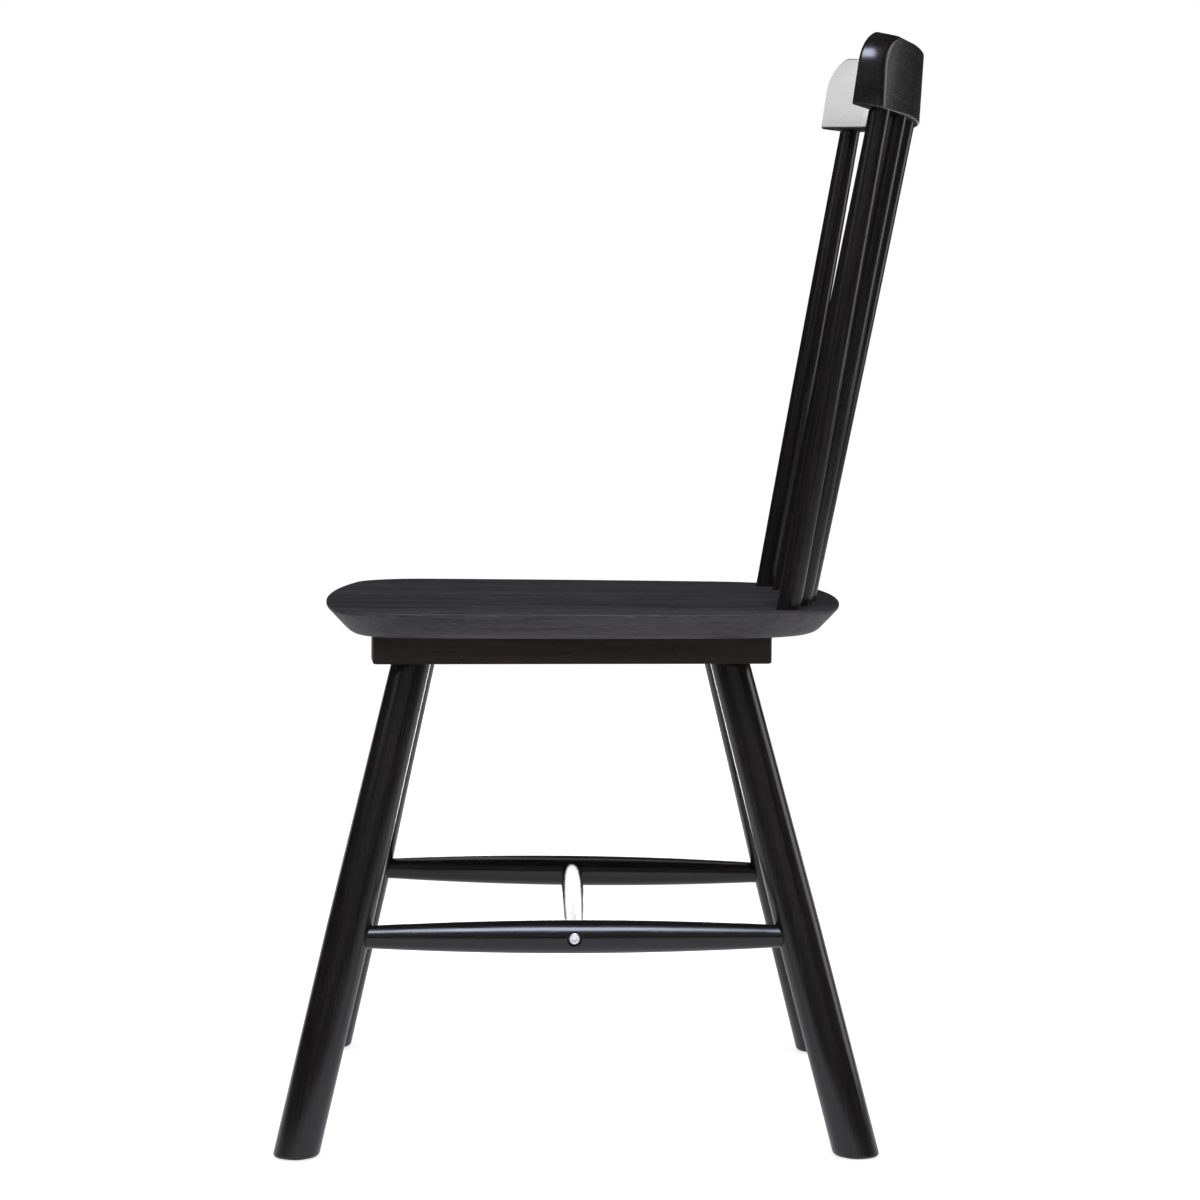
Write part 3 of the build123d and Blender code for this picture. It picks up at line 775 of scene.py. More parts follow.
@dataclass
class Legs:
    """The four turned legs and the glides in their feet."""

    plan: ChairPlan
    top_diameter: float = 0.0326
    taper_start: float = 0.183
    taper_steps: int = 6
    foot_chamfer: float = 0.003
    glide_diameter: float = 0.026
    glide_height: float = 0.003
    glide_proud: float = 0.001
    glide_edge: float = 0.0005
    glide_top_edge: float = 0.0004
    glide_ease: tuple[float, float] = (0.3, 0.35)   # middle of the lower edge's rounding, in shares of it
    facets: tuple[int, int] = (72, 48)      # around a leg and around a glide
    spare: float = 0.03            # length left on a turned blank for sawing
    housed: float = 0.001          # how far a leg's shoulder runs on into the cleat
    spot: tuple[float, float, float] = (1.7, 0.5, 0.23)     # the same, and the step to the front

    def axis(self, end: End, side: Side) -> Matrix:
        """Frame of a leg, Z up its centre line."""
        foot, top = (self.plan.leg_point(end, side, height) for height in (0, self.plan.cleat_bottom))
        return along_axis(foot, top)

    def turn_blank(self, end: End) -> Piece:
        """Turn a leg's blank, its floor point at the origin.

        Args:
            end: The leg's end of the chair.

        Returns:
            The blank on the lathe.
        """
        plan = self.plan
        foot = plan.leg_point(end, Side.LEFT, 0)
        length = (plan.leg_point(end, Side.LEFT, plan.cleat_bottom) - foot).length
        thick, thin = plan.leg_diameter / 2, self.top_diameter / 2
        taper = length * self.taper_start / plan.cleat_bottom
        shares = [step / self.taper_steps for step in range(1, self.taper_steps + 1)]
        profile = [(-self.spare, thick), (taper / 2, thick), (taper, thick)]
        profile += [(taper + (length - taper) * share, thick + (thin - thick) * share) for share in shares]
        return turn(f"leg_blank_{end.value}", profile + [(length + self.spare, thin)], self.facets[0])

    def build(self, blank: Piece, end: End, side: Side) -> Piece:
        """Set a copy of a blank at its slant and saw it to the floor and to the cleat.

        Args:
            blank: The turned blank.
            end: The leg's end of the chair.
            side: Its side.

        Returns:
            The leg in its place.
        """
        leg = copy_of(blank, f"turned_leg_{end.value}_{side.word}")
        set_place(leg, self.axis(end, side))
        saw(leg, UP * (self.plan.cleat_bottom + self.housed), UP)
        saw(leg, UP * self.glide_proud, DOWN)
        with shaping(leg):
            ease_edges(leg, self.glide_proud, self.foot_chamfer, segments=3)
            mend_surface()
        return leg

    def dress(self, leg: Piece, end: End, side: Side, finish: Material) -> None:
        """Lay the grain along a leg and fit it."""
        spot, aside, ahead = self.spot
        lay_grain(leg, self.axis(end, side), spot + side.value * aside + (ahead if end is End.FRONT else 0))
        fit(leg, f"leg_{end.value}_{side.word}", finish)

    def turn_glide(self) -> Piece:
        """Mould one glide, a disc with eased rims, and return it."""
        radius, high = self.glide_diameter / 2, self.glide_height
        edge, top, (rise, inset) = self.glide_edge, self.glide_top_edge, self.glide_ease
        profile = [(0, radius - edge), (edge * rise, radius - edge * inset), (edge, radius), (high, radius),
                   (high + top, radius - top)]
        return turn("moulded_glide", profile, self.facets[1])

    def set_glide(self, pattern: Piece, end: End, side: Side, finish: Material) -> None:
        """Copy the glide to one foot and fit it."""
        glide = copy_of(pattern, f"moulded_glide_{end.value}_{side.word}")
        set_place(glide, Matrix.Translation(self.plan.leg_point(end, side, 0)))
        fit(glide, f"glide_{end.value}_{side.word}", finish)


@dataclass
class Stretchers:
    """The two side stretchers, swollen in the middle, and the cross stretcher between them."""

    plan: ChairPlan
    middle_diameter: float = 0.028
    end_diameter: float = 0.0192
    past_centre: float = 0.004
    clear_of_leg: float = 0.003
    cross_middle_diameter: float = 0.0204
    cross_end_diameter: float = 0.018
    cross_seat_depth: float = 0.005
    bolt_sink: float = 0.0075
    bolt_bore_diameter: float = 0.0126
    facets: int = 64
    stations: tuple[int, int] = (28, 24)        # spaces along the swell of a side one and of the cross one
    spot: tuple[float, float] = (9.1, 11.7)     # where the side ones and the cross one were cut

    def ends(self, side: Side) -> tuple[Vector, Vector]:
        """Where a side stretcher's centre line crosses its front and rear legs."""
        return self.plan.leg_pair(side, self.plan.stretcher_height)

    def middle(self, side: Side) -> Vector:
        """Where the cross stretcher's centre line meets a side stretcher's."""
        front, rear = self.ends(side)
        return (front + rear) / 2

    def cross_half_length(self) -> float:
        """Half the cross stretcher's length."""
        return self.middle(Side.LEFT).x - self.middle_diameter / 2 + self.cross_seat_depth

    def cross_axis(self) -> Matrix:
        """Frame of the cross stretcher, Z along it from right to left."""
        centre, half = self.middle(Side.LEFT), self.cross_half_length()
        return along_axis(Vector((-half, centre.y, centre.z)), Vector((half, centre.y, centre.z)))

    def bolt_seat(self, side: Side) -> Vector:
        """Middle of the counterbore's floor, where a cross bolt's head sits."""
        outward = Vector((side.value, 0, 0))
        return self.middle(side) + outward * (self.middle_diameter / 2 - self.bolt_sink)

    def turn_side_blank(self) -> Piece:
        """Turn a side stretcher's blank and return it."""
        front, rear = self.ends(Side.LEFT)
        length = (rear - front).length
        straight = self.plan.leg_diameter / 2 + self.clear_of_leg
        end, middle = self.end_diameter / 2, self.middle_diameter / 2
        swollen = arc_profile(self.stations[0], straight, length - straight, (end, middle, end))
        profile = [(-self.past_centre, end), *swollen, (length + self.past_centre, end)]
        return turn("side_stretcher_blank", profile, self.facets)

    def build_side(self, blank: Piece, side: Side) -> Piece:
        """Set a copy of the blank between its legs and counterbore it for the bolt.

        Args:
            blank: The turned blank.
            side: The stretcher's side.

        Returns:
            The stretcher in its place.
        """
        stretcher = copy_of(blank, f"turned_side_stretcher_{side.word}")
        set_place(stretcher, along_axis(*self.ends(side)))
        outside = self.middle(side) + Vector((side.value * self.middle_diameter, 0, 0))
        bore(stretcher, self.bolt_seat(side), outside, self.bolt_bore_diameter / 2)
        return stretcher

    def build_cross(self) -> Piece:
        """Turn the cross stretcher in its place and return it."""
        length = 2 * self.cross_half_length()
        straight = self.cross_seat_depth + self.clear_of_leg
        end, middle = self.cross_end_diameter / 2, self.cross_middle_diameter / 2
        swollen = arc_profile(self.stations[1], straight, length - straight, (end, middle, end))
        stretcher = turn("turned_cross_stretcher", [(0, end), *swollen, (length, end)], self.facets)
        set_place(stretcher, self.cross_axis())
        return stretcher

    def dress_side(self, stretcher: Piece, side: Side, finish: Material) -> None:
        """Lay the grain along a side stretcher and fit it."""
        lay_grain(stretcher, along_axis(*self.ends(side)), self.spot[0] + side.value)
        fit(stretcher, f"side_stretcher_{side.word}", finish)

    def dress_cross(self, stretcher: Piece, finish: Material) -> None:
        """Lay the grain along the cross stretcher and fit it."""
        lay_grain(stretcher, self.cross_axis(), self.spot[1])
        fit(stretcher, "cross_stretcher", finish)


@dataclass
class Back:
    """The seven turned spindles and the curved crest rail."""

    plan: ChairPlan
    count: int = 7
    base_span: float = 0.287
    base_sag: float = 0.022
    seat_setback: float = 0.0305
    crest_span: float = 0.286
    crest_inset: float = 0.0125
    base_diameter: float = 0.0204
    middle_diameter: float = 0.0202
    top_diameter: float = 0.018
    half_length: float = 0.1659
    bottom_thickness: float = 0.025
    thinning: tuple[float, float] = (0.0014, 0.0038)    # of the front and the rear face, by the top
    corner: tuple[float, float] = (0.040, 0.033)        # width and height of the oval upper corners
    crown_radius: float = 0.036    # the ends' swell, seen from above
    crown_angles: tuple[float, ...] = (-10.0, 0.0, 10.0)    # degrees; few, so the roundings have room
    top_slope: float = 5.2         # degrees that the top falls to the rear, over the rail's own lean
    top_drop: float = 0.0060       # and how low that leaves its rear edge at the middle
    # how far the rail's roundings reach in from its arrises, at the ends and along the top
    rear_round: tuple[float, float] = (0.0046, 0.0012)
    front_round: tuple[float, float] = (0.0045, 0.0010)
    bottom_round: float = 0.0022
    arris_angle: float = 25.0      # degrees between two faces from which their edge is an arris
    housed: float = 0.001          # how far a spindle's shoulders run on into the seat and the rail
    bend_step: float = 2.4         # degrees of bend between two lines across the rail
    bend_lines: int = 8            # such lines on each side of its middle, as far as the corners
    blank_angle: float = 33.4      # degrees from its middle to the last line, beyond the ends
    saw_cuts: int = 12             # cuts that make a corner round
    facets: int = 48               # around a spindle
    stations: int = 20             # spaces along its profile
    spindle_spot: tuple[float, float] = (3.1, 0.47)     # where they were cut, and the step to the next
    crest_spot: float = 7.3

    def arc_places(self, span: float, radius: float) -> list[tuple[float, float]]:
        """Spread the spindles evenly along an arc.

        Args:
            span: Distance between the outer spindles.
            radius: The arc's radius.

        Returns:
            For each spindle its place across the chair, and how far ahead of the arc's middle it stands.
        """
        half = math.asin(span / 2 / radius)
        angles = [half * (2 * index / (self.count - 1) - 1) for index in range(self.count)]
        return [(radius * math.sin(angle), radius * (1 - math.cos(angle))) for angle in angles]

    def spindle_ends(self, number: int) -> tuple[Vector, Vector]:
        """Find the centre of a spindle on the seat's top and on the rail's underside.

        Args:
            number: The spindle's number, from 1.

        Returns:
            The two points in the row frame.
        """
        plan = self.plan
        base_radius = ((self.base_span / 2) ** 2 + self.base_sag ** 2) / (2 * self.base_sag)
        across, ahead = self.arc_places(self.base_span, base_radius)[number - 1]
        base = Vector((across, plan.seat_rear - self.seat_setback - ahead, plan.seat_height))
        crest_radius = plan.crest_rear_radius - self.crest_inset
        across, ahead = self.arc_places(self.crest_span, crest_radius)[number - 1]
        return base, plan.crest_frame() @ Vector((across, -self.crest_inset - ahead, 0))

    def turn_blank(self) -> Piece:
        """Turn a spindle's blank, with spare length at both ends, and return it."""
        base, top = self.spindle_ends(self.count // 2 + 1)
        length, spare = (top - base).length, self.base_diameter
        radii = (self.base_diameter / 2, self.middle_diameter / 2, self.top_diameter / 2)
        shaped = arc_profile(self.stations, 0, length, radii)
        profile = [(-spare, radii[0]), *shaped, (length + spare, radii[2])]
        return turn("spindle_blank", profile, self.facets)

    def build_spindle(self, blank: Piece, number: int) -> Piece:
        """Set a copy of the blank at its slant and saw it to the seat and to the rail.

        Args:
            blank: The turned blank.
            number: The spindle's number, from 1.

        Returns:
            The spindle in its place.
        """
        rail = self.plan.crest_frame()
        spindle = copy_of(blank, f"turned_spindle_{number}")
        set_place(spindle, along_axis(*self.spindle_ends(number)))
        saw(spindle, rail @ (UP * self.housed), rail.to_3x3() @ UP)
        saw(spindle, UP * (self.plan.seat_height - self.housed), DOWN)
        return spindle

    def dress_spindle(self, spindle: Piece, number: int, finish: Material) -> None:
        """Lay the grain along a spindle and fit it."""
        spot, step = self.spindle_spot
        lay_grain(spindle, along_axis(*self.spindle_ends(number)), spot + step * number)
        fit(spindle, f"spindle_{number}", finish)

    @property
    def bend_radius(self) -> float:
        """Radius of the rail's middle line."""
        return self.plan.crest_rear_radius - self.bottom_thickness / 2

    def straighten(self, point: Vector) -> Vector:
        """Find where a point of the bent rail was on the flat blank."""
        angle = math.atan2(point.x, point.y + self.bend_radius)
        depth = math.hypot(point.x, point.y + self.bend_radius) - self.bend_radius
        return Vector((angle * self.bend_radius, depth, point.z))

    def build_crest(self) -> Piece:
        """Thin a flat blank towards its top, bend it, saw its top, ends and corners, round and lean it.

        Returns:
            The rail in its place.
        """
        radius, thick, high = self.bend_radius, self.bottom_thickness, self.plan.crest_height
        front, rear = self.thinning
        lines = range(-self.bend_lines, self.bend_lines + 1)
        angles = [-self.blank_angle, *(self.bend_step * line for line in lines), self.blank_angle]
        bend = 2 * math.radians(self.blank_angle + self.bend_step)
        rail = add_piece("bent_crest_rail", bpy.ops.mesh.primitive_cube_add, size=1.0,
                         location=(0, 0, high / 2), scale=(bend * radius, thick, high))
        with shaping(rail):
            pick_edges(rail, high)
            bpy.ops.transform.resize(value=(1, 1 - (front + rear) / thick, 1),
                                     center_override=(0, thick / 2 * (front - rear) / (front + rear), high))
            for angle in angles:
                bpy.ops.mesh.select_all(action="SELECT")
                bpy.ops.mesh.bisect(plane_co=(math.radians(angle) * radius, 0, 0), plane_no=(1, 0, 0))
        modify(rail, "SIMPLE_DEFORM", deform_method="BEND", deform_axis="Z", angle=-bend)
        self.saw_ends(rail)
        self.round_arrises(rail)
        with shaping(rail):
            ease_edges(rail, 0.0, self.bottom_round, segments=3)
            mend_surface()
        lay_grain(rail, along_axis(Vector(), Vector((1, 0, 0))), self.crest_spot, self.straighten)
        set_place(rail, self.plan.crest_frame() @ Matrix.Translation((0, -thick / 2, 0)))
        return rail

    def saw_ends(self, rail: Piece) -> None:
        """Saw the top down towards the rear, and both ends, a little crowned, up into oval corners.

        Args:
            rail: The bent rail.
        """
        slope, rise = math.radians(self.top_slope), self.plan.crest_height
        saw(rail, Vector((0, self.bottom_thickness / 2, rise - self.top_drop)),
            Vector((0, math.sin(slope), math.cos(slope))))
        wide, high = self.corner
        end_y = math.sqrt(self.bend_radius ** 2 - self.half_length ** 2) - self.bend_radius
        climbs = [0.0] + [math.pi / 2 * (cut + 0.5) / self.saw_cuts for cut in range(self.saw_cuts)]
        for side in Side:
            hub = Vector((side.value * (self.half_length - self.crown_radius), end_y, rise - high))
            for crown in map(math.radians, self.crown_angles):
                level = Vector((side.value * math.cos(crown), math.sin(crown), 0))
                centre = hub + level * (self.crown_radius - wide)
                for climb in climbs:
                    outward = level * math.cos(climb) + UP * math.sin(climb)
                    reach = math.hypot(wide * math.cos(climb), high * math.sin(climb))
                    saw(rail, centre + outward * reach, outward)

    def round_arrises(self, rail: Piece) -> None:
        """Round the bent rail's arrises: fully at its ends, running out round the corners to the top.

        Args:
            rail: The bent rail with its ends and corners sawn.
        """
        wide, high = self.corner
        inner, top = self.half_length - wide, self.plan.crest_height - high
        most = max(self.rear_round + self.front_round)
        with shaping(rail):
            shape = bmesh.from_edit_mesh(rail.data)
            weight = shape.edges.layers.float.new("bevel_weight_edge")
            for edge in shape.edges:
                middle = (edge.verts[0].co + edge.verts[1].co) / 2
                if edge.calc_face_angle() < math.radians(self.arris_angle) or middle.z < NEAR:
                    continue
                climb = math.atan2(max(0.0, middle.z - top) / high, max(0.0, abs(middle.x) - inner) / wide)
                end, along = self.rear_round if self.straighten(middle).y > 0 else self.front_round
                edge[weight] = (end + (along - end) * climb / (math.pi / 2)) / most
            bmesh.update_edit_mesh(rail.data)
        modify(rail, "BEVEL", limit_method="WEIGHT", width=most, segments=8, use_clamp_overlap=False)

    def dress_crest(self, rail: Piece, finish: Material) -> None:
        """Fit the rail, whose grain follows its bend."""
        fit(rail, "crest_rail", finish)


@dataclass
class Fasteners:
    """Socket-head bolts, their washers, and the threaded inserts that stay as their solids."""

    cleats: Cleats
    stretchers: Stretchers
    bolt_diameter: float = 0.006
    head_diameter: float = 0.0104
    head_height: float = 0.006
    key_width: float = 0.005
    key_depth: float = 0.003
    cross_bolt_length: float = 0.040
    seat_bolt_length: float = 0.026
    washer_diameter: float = 0.015
    washer_hole: float = 0.0068
    washer_thickness: float = 0.0015
    head_round: float = 0.002      # dome of the heads
    dome_steps: int = 6
    tip_arris: float = 0.0006      # eased edge of the tips
    seat_arris: float = 0.0002     # of the heads' seats
    washer_arris: float = 0.0003   # and of the washers
    facets: int = 48

    def turn_bolt(self, name: str, length: float) -> Piece:
        """Turn a bolt, its head's seat at the origin, and sink the hexagon socket in its head.

        Args:
            name: The pattern's name.
            length: Length of the shank.

        Returns:
            The bolt on the lathe.
        """
        shank, head, high = self.bolt_diameter / 2, self.head_diameter / 2, self.head_height
        profile = [(-length, shank - self.tip_arris), (self.tip_arris - length, shank), (0, shank),
                   (0, head - self.seat_arris), (self.seat_arris, head)]
        for angle in (math.pi / 2 * step / self.dome_steps for step in range(self.dome_steps + 1)):
            profile.append((high - self.head_round * (1 - math.sin(angle)),
                            head - self.head_round * (1 - math.cos(angle))))
        bolt = turn(name, profile, self.facets)
        bore(bolt, UP * (high - self.key_depth), UP * (high * 2), self.key_width / math.sqrt(3), around=6)
        return bolt

    def turn_washer(self) -> Piece:
        """Press one washer, its seat at the origin, and return it."""
        outer, thick, ease = self.washer_diameter / 2, self.washer_thickness, self.washer_arris
        washer = turn("washer_pattern", [(0, outer - ease), (ease, outer), (thick - ease, outer),
                                         (thick, outer - ease)], self.facets)
        bore(washer, DOWN * BEYOND, UP * BEYOND, self.washer_hole / 2)
        return washer

    def fit_copy(self, pattern: Piece, name: str, node: str, seat: Vector, points: Vector,
                 steel: Material) -> None:
        """Copy a pattern to its hole and fit it.

        Args:
            pattern: The bolt or washer to copy.
            name: The copy's name.
            node: The solid's node that it replaces.
            seat: Where it sits.
            points: The way that its head or outer face points.
            steel: Its finish.
        """
        copy = copy_of(pattern, name)
        set_place(copy, along_axis(seat, seat + points))
        fit(copy, node, steel)

    def fit_all(self, steel: Material, zinc: Material) -> None:
        """Copy bolts and washers to their holes, and give the inserts their finish.

        Args:
            steel: Finish of the bolts and washers.
            zinc: Finish of the inserts.
        """
        cross_bolt = self.turn_bolt("cross_bolt_pattern", self.cross_bolt_length)
        seat_bolt = self.turn_bolt("seat_bolt_pattern", self.seat_bolt_length)
        washer = self.turn_washer()
        for side in Side:
            self.fit_copy(cross_bolt, f"turned_cross_bolt_{side.word}", f"cross_bolt_{side.word}",
                          self.stretchers.bolt_seat(side), Vector((side.value, 0, 0)), steel)
            for end in End:
                place = f"{end.value}_{side.word}"
                ceiling = self.cleats.bolt_place(side, end, self.cleats.bolt_sink)
                self.fit_copy(washer, f"pressed_washer_{place}", f"seat_washer_{place}", ceiling, DOWN, steel)
                self.fit_copy(seat_bolt, f"turned_seat_bolt_{place}", f"seat_bolt_{place}",
                              ceiling + DOWN * self.washer_thickness, DOWN, steel)
        discard(cross_bolt, seat_bolt, washer)
        for name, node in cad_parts.items():
            if "_insert_" in name:
                node.data.materials.clear()
                node.data.materials.append(zinc)
                LOG.info("%s: solid kept, zinc finish", name)


@dataclass(frozen=True)
class Softbox:
    """One soft lamp, out of the camera's sight."""

    name: str
    place: Point
    aim: Point
    width: float
    height: float
    radiance: float
    colour: str = "#ffffff"
    only: str = ""                 # the one piece that it lights, or none for all

    def hang(self) -> None:
        """Hang the lamp in its place."""
        clear_bench()
        bpy.ops.object.light_add(type="AREA", location=self.place)
        lamp = bpy.context.object
        lamp.name = f"softbox_{self.name}"
        lamp.rotation_euler = (Vector(self.aim) - Vector(self.place)).to_track_quat("-Z", "Y").to_euler()
        lamp.data.shape = "RECTANGLE"
        lamp.data.size, lamp.data.size_y = self.width, self.height
        lamp.data.energy = self.radiance * math.pi * self.width * self.height
        lamp.data.color = to_linear(self.colour)[:3]
        lamp.visible_camera = False
        if self.only:
            lit = bpy.data.collections.new(f"lit_by_{self.name}")
            lit.objects.link(bpy.data.objects[self.only])
            lamp.light_linking.receiver_collection = lit


@dataclass(frozen=True)
class Flag:
    """A grey or nearly black studio cloth, out of the camera's sight, that the wood mirrors."""

    name: str
    place: Point
    faces: Point
    width: float
    height: float
    tone: str = "#303030"

    def hang(self) -> None:
        """Hang the cloth in its place."""
        flag = add_piece(f"flag_{self.name}", bpy.ops.mesh.primitive_plane_add, size=1.0)
        facing = Vector(self.faces).to_track_quat("Z", "Y").to_matrix().to_4x4()
        size = Matrix.Diagonal((self.width, self.height, 1, 1))
        set_place(flag, Matrix.Translation(self.place) @ facing @ size)
        material, tree = start_material(f"Studio cloth, {self.name}")
        cloth = add_node(tree, "BsdfDiffuse", {"Color": to_linear(self.tone)})
        add_node(tree, "OutputMaterial", {0: cloth.outputs[0]})
        flag.data.materials.append(material)
        flag.visible_camera = flag.visible_diffuse = flag.visible_shadow = False


@dataclass
class Studio:
    """Pale floor, white surround, soft lights and the photograph's camera."""

    floor_size: float = 24.0
    white: str = "#ffffff"
    paper: str = "#f4f4f4"         # the floor's paper, as it lights the chair
    shaded_paper: str = "#a8a8a8"  # and as it is seen under its own glow, so that only a faint shadow shows
    glow: tuple[float, float] = (0.38, 0.75)    # that glow as the wood mirrors it and as the camera sees it
    fill: float = 0.7              # the surround's light on the chair, against 1 as it is seen
    # the camera as it was fitted to the photograph, in metres, radians and millimetres
    camera_place: Point = (3.04151, -0.0485, 0.66919)
    yaw: float = 0.01468
    pitch: float = -0.07307
    roll: float = 0.00724
    lens: float = 103.49
    sensor: float = 36.0
    softboxes: tuple[Softbox, ...] = (
        Softbox("key", (1.55, 0.1, 2.86), (0.18, 0.05, 0.5), 1.3, 1.2, 18.0, "#dfe7ff"),
        Softbox("far_front", (-0.5, -0.22, 1.02), (-0.13, 0.2, 0.89), 0.45, 0.3, 6.5, only="bent_crest_rail"),
        Softbox("end_arris", (-0.95, 2.15, 1.1), (0.15, 0.21, 0.9), 0.35, 1.2, 2.2, only="bent_crest_rail"),
        Softbox("lower_arris", (-1.0, 0.66, 0.6), (0.05, 0.27, 0.86), 0.3, 0.25, 8.0, only="bent_crest_rail"),
        Softbox("background", (-1.1, -0.015, 0.235), (0.0, -0.015, 0.235), 0.5, 0.41, 5.0),
        Softbox("rear", (-0.35, 2.25, 1.1), (0.15, 0.22, 0.85), 0.9, 1.7, 2.2),
        Softbox("bolt", (1.1, 0.03, 0.06), (0.21, 0.0, 0.178), 0.4, 0.25, 4.5, only="turned_cross_bolt_left"),
        Softbox("far_top", (-1.1, 0.0, 2.1), (-0.2, 0.0, 0.18), 1.0, 1.2, 1.2,
                only="turned_side_stretcher_right"),
        Softbox("front_fill", (0.9, -2.2, 1.7), (0.0, 0.0, 0.7), 2.0, 1.0, 0.7),
    )
    flags: tuple[Flag, ...] = (
        Flag("behind_camera", (3.6, 0.0, 2.65), (-1, 0, 0), 4.8, 3.5, "#949494"),
        Flag("below_camera", (3.6, 0.0, 0.45), (-1, 0, 0), 4.8, 0.9, "#202020"),
        Flag("front", (0.7, -2.4, 2.2), (0, 1, 0), 5.8, 4.4),
        Flag("rear", (0.7, 2.4, 2.2), (0, -1, 0), 5.8, 4.4),
        Flag("ceiling", (0.7, 0.0, 4.4), (0, 0, -1), 5.8, 4.8),
        Flag("far_side", (-0.5, 0.25, 0.66), (1, 0, 0), 0.7, 0.5),
        Flag("backdrop", (-2.2, 0.0, 2.4), (1, 0, 0), 4.8, 3.9),
    )

    def seen_rays(self, tree: NodeTree) -> Socket:
        """Add nodes that are 1 for camera, glossy and transmission rays.

        Args:
            tree: The floor's or the world's nodes.

        Returns:
            The socket to mix by.
        """
        rays = add_node(tree, "LightPath").outputs
        either = add_node(tree, "Math", {0: rays["Is Camera Ray"], 1: rays["Is Glossy Ray"]},
                          operation="MAXIMUM")
        return add_node(tree, "Math", {0: either.outputs[0], 1: rays["Is Transmission Ray"]},
                        operation="MAXIMUM").outputs[0]

    def lay_floor(self) -> None:
        """Lay the floor: near white, with most of its light its own, so that only a faint shadow shows."""
        floor = add_piece("studio_floor", bpy.ops.mesh.primitive_plane_add, size=self.floor_size)
        material, tree = start_material("Matt white studio paper")
        lighting = add_node(tree, "BsdfDiffuse", {"Color": to_linear(self.paper)})
        shaded = add_node(tree, "BsdfDiffuse", {"Color": to_linear(self.shaded_paper)})
        camera_ray = add_node(tree, "LightPath").outputs["Is Camera Ray"]
        strength = add_node(tree, "MapRange", {"Value": camera_ray, "To Min": self.glow[0],
                                               "To Max": self.glow[1]})
        glow = add_node(tree, "Emission", {"Color": to_linear(self.white), "Strength": strength.outputs[0]})
        seen = add_node(tree, "AddShader", {0: shaded.outputs[0], 1: glow.outputs[0]})
        paper = add_node(tree, "MixShader", {0: self.seen_rays(tree), 1: lighting.outputs[0],
                                             2: seen.outputs[0]})
        add_node(tree, "OutputMaterial", {0: paper.outputs[0]})
        floor.data.materials.append(material)

    def light_world(self) -> None:
        """Surround the chair with white, as seen and reflected, that lights it a little less."""
        world = bpy.data.worlds.new("White studio")
        world.use_nodes = True
        tree = world.node_tree
        tree.nodes.clear()
        seen = add_node(tree, "Background", {"Color": to_linear(self.white), "Strength": 1.0})
        fill = add_node(tree, "Background", {"Color": to_linear(self.white), "Strength": self.fill})
        mixed = add_node(tree, "MixShader", {0: self.seen_rays(tree), 1: fill.outputs[0], 2: seen.outputs[0]})
        add_node(tree, "OutputWorld", {0: mixed.outputs[0]})
        bpy.context.scene.world = world

    def set_camera(self) -> None:
        """Set the camera where the photograph was taken from."""
        level = math.cos(self.pitch)
        ahead = Vector((-level * math.cos(self.yaw), level * math.sin(self.yaw), math.sin(self.pitch)))
        right = ahead.cross(UP).normalized()
        up = right.cross(ahead)
        c, s = math.cos(self.roll), math.sin(self.roll)
        axes = Matrix((right * c + up * s, up * c - right * s, -ahead)).transposed().to_4x4()
        clear_bench()
        bpy.ops.object.camera_add(location=(0, 0, 0))
        camera = bpy.context.object
        camera.matrix_world = Matrix.Translation(self.camera_place) @ axes
        camera.data.lens = self.lens
        camera.data.sensor_width = self.sensor
        bpy.context.scene.camera = camera

    def build(self) -> None:
        """Set up the whole studio."""
        self.lay_floor()
        self.light_world()
        for hung in self.softboxes + self.flags:
            hung.hang()
        self.set_camera()
        bpy.context.scene.view_settings.view_transform = "Standard"


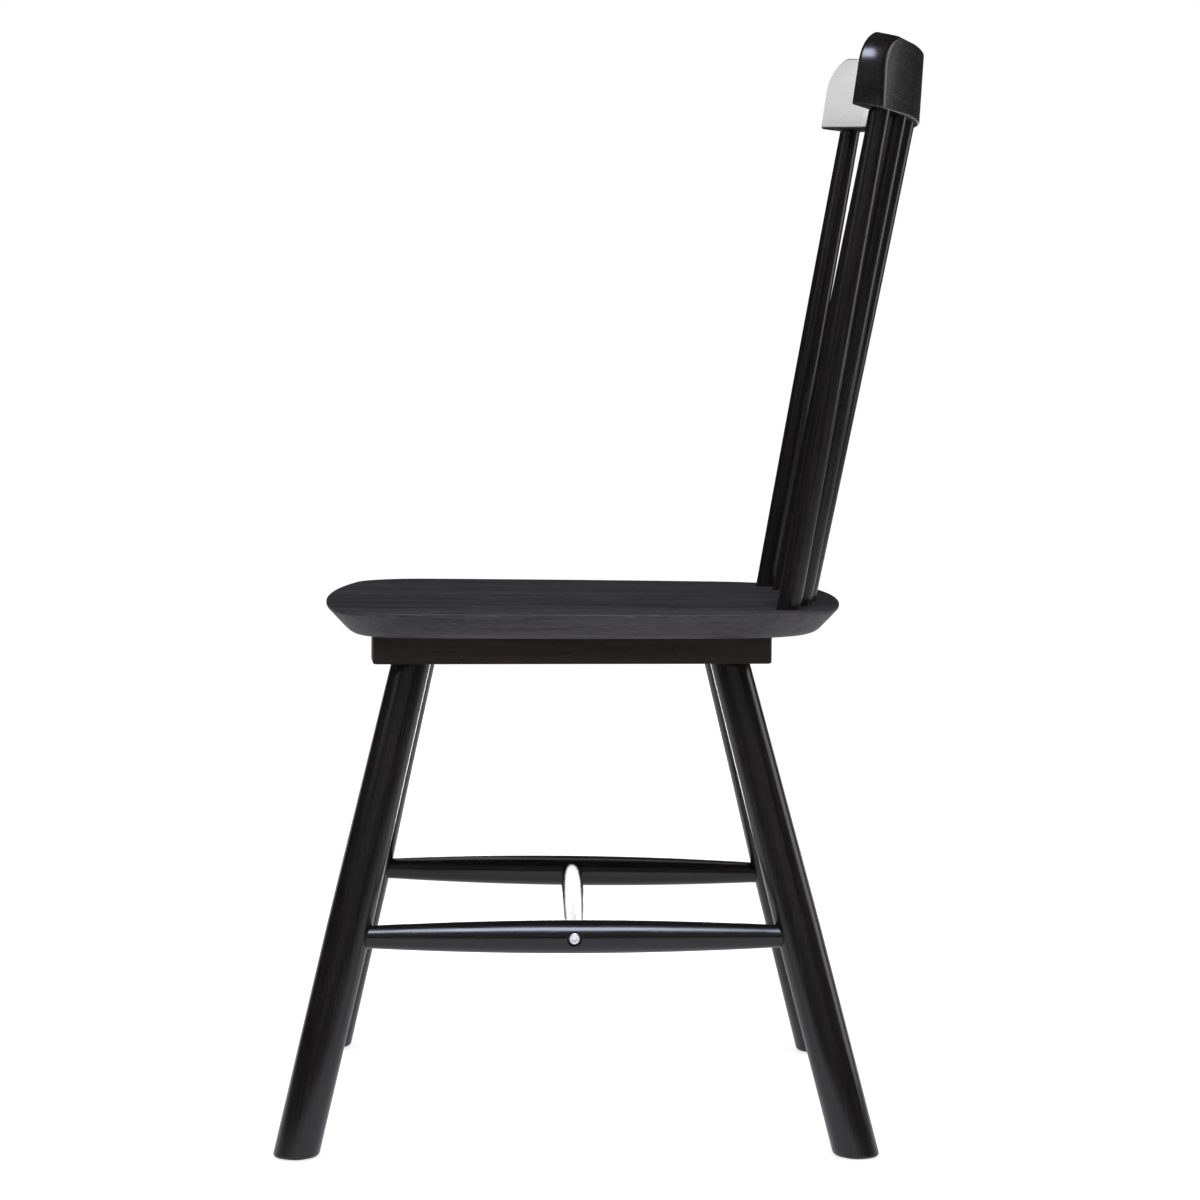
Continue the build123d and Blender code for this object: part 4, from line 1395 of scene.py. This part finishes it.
def main() -> None:
    """Build and dress the chair, sub-assembly by sub-assembly, then the studio."""
    logging.basicConfig(level=logging.INFO, format="%(name)s: %(message)s")
    # smooth off the lathe: the satin lacquer draws the lamps out into long streaks
    turned = StainedRubberwood("Rubberwood, turned, black stain, satin lacquer", "#0a0908", "#1a1512",
                               (0.20, 0.28), 0.5, relief_mm=0.025).make()
    # sanded finer, since the sitter's eye and hand meet it: the same lacquer with hardly any grain in it
    bent = StainedRubberwood("Rubberwood, bent and sanded, black stain, satin lacquer", "#0a0908", "#1a1512",
                             (0.23, 0.28), 0.5, relief_mm=0.010).make()
    # glued staves under a matt coat: greyer, its pores coloured pale as a painted glint of the lacquer in
    # them
    sanded = StainedRubberwood("Rubberwood board, sanded, black stain, matt lacquer", "#131212", "#3a3636",
                               (0.46, 0.62), 0.35, pore_mm=(0.9, 7.0), pore="#464242", stave_mm=52.0).make()
    # left from the saw under a thin coat: browner and nearly without gloss
    sawn = StainedRubberwood("Rubberwood, sawn, black stain, thin lacquer", "#130d0a", "#2a1e18",
                             (0.45, 0.6), 0.2).make()
    steel = PlatedSteel("Zinc-plated steel, turned", "#f0f1f2", "#d6d8da", (0.42, 0.56)).make()
    zinc = PlatedSteel("Cast zinc, threaded", "#a7a9ab", "#86888b", (0.35, 0.5)).make()
    nylon = MouldedNylon().make()

    plan = ChairPlan()
    seat = Seat(plan)
    seat.dress(seat.build(), sanded)
    cleats = Cleats(plan)
    for side in Side:
        cleats.dress(cleats.build(side), side, sawn)
    legs = Legs(plan)
    glide = legs.turn_glide()
    for end in End:
        blank = legs.turn_blank(end)
        for side in Side:
            legs.dress(legs.build(blank, end, side), end, side, turned)
            legs.set_glide(glide, end, side, nylon)
        discard(blank)
    stretchers = Stretchers(plan)
    blank = stretchers.turn_side_blank()
    for side in Side:
        stretchers.dress_side(stretchers.build_side(blank, side), side, turned)
    stretchers.dress_cross(stretchers.build_cross(), turned)
    back = Back(plan)
    spindle = back.turn_blank()
    for number in range(1, back.count + 1):
        back.dress_spindle(back.build_spindle(spindle, number), number, turned)
    back.dress_crest(back.build_crest(), bent)
    Fasteners(cleats, stretchers).fit_all(steel, zinc)
    discard(glide, blank, spindle)

    Studio().build()


if __name__ == "__main__":
    main()
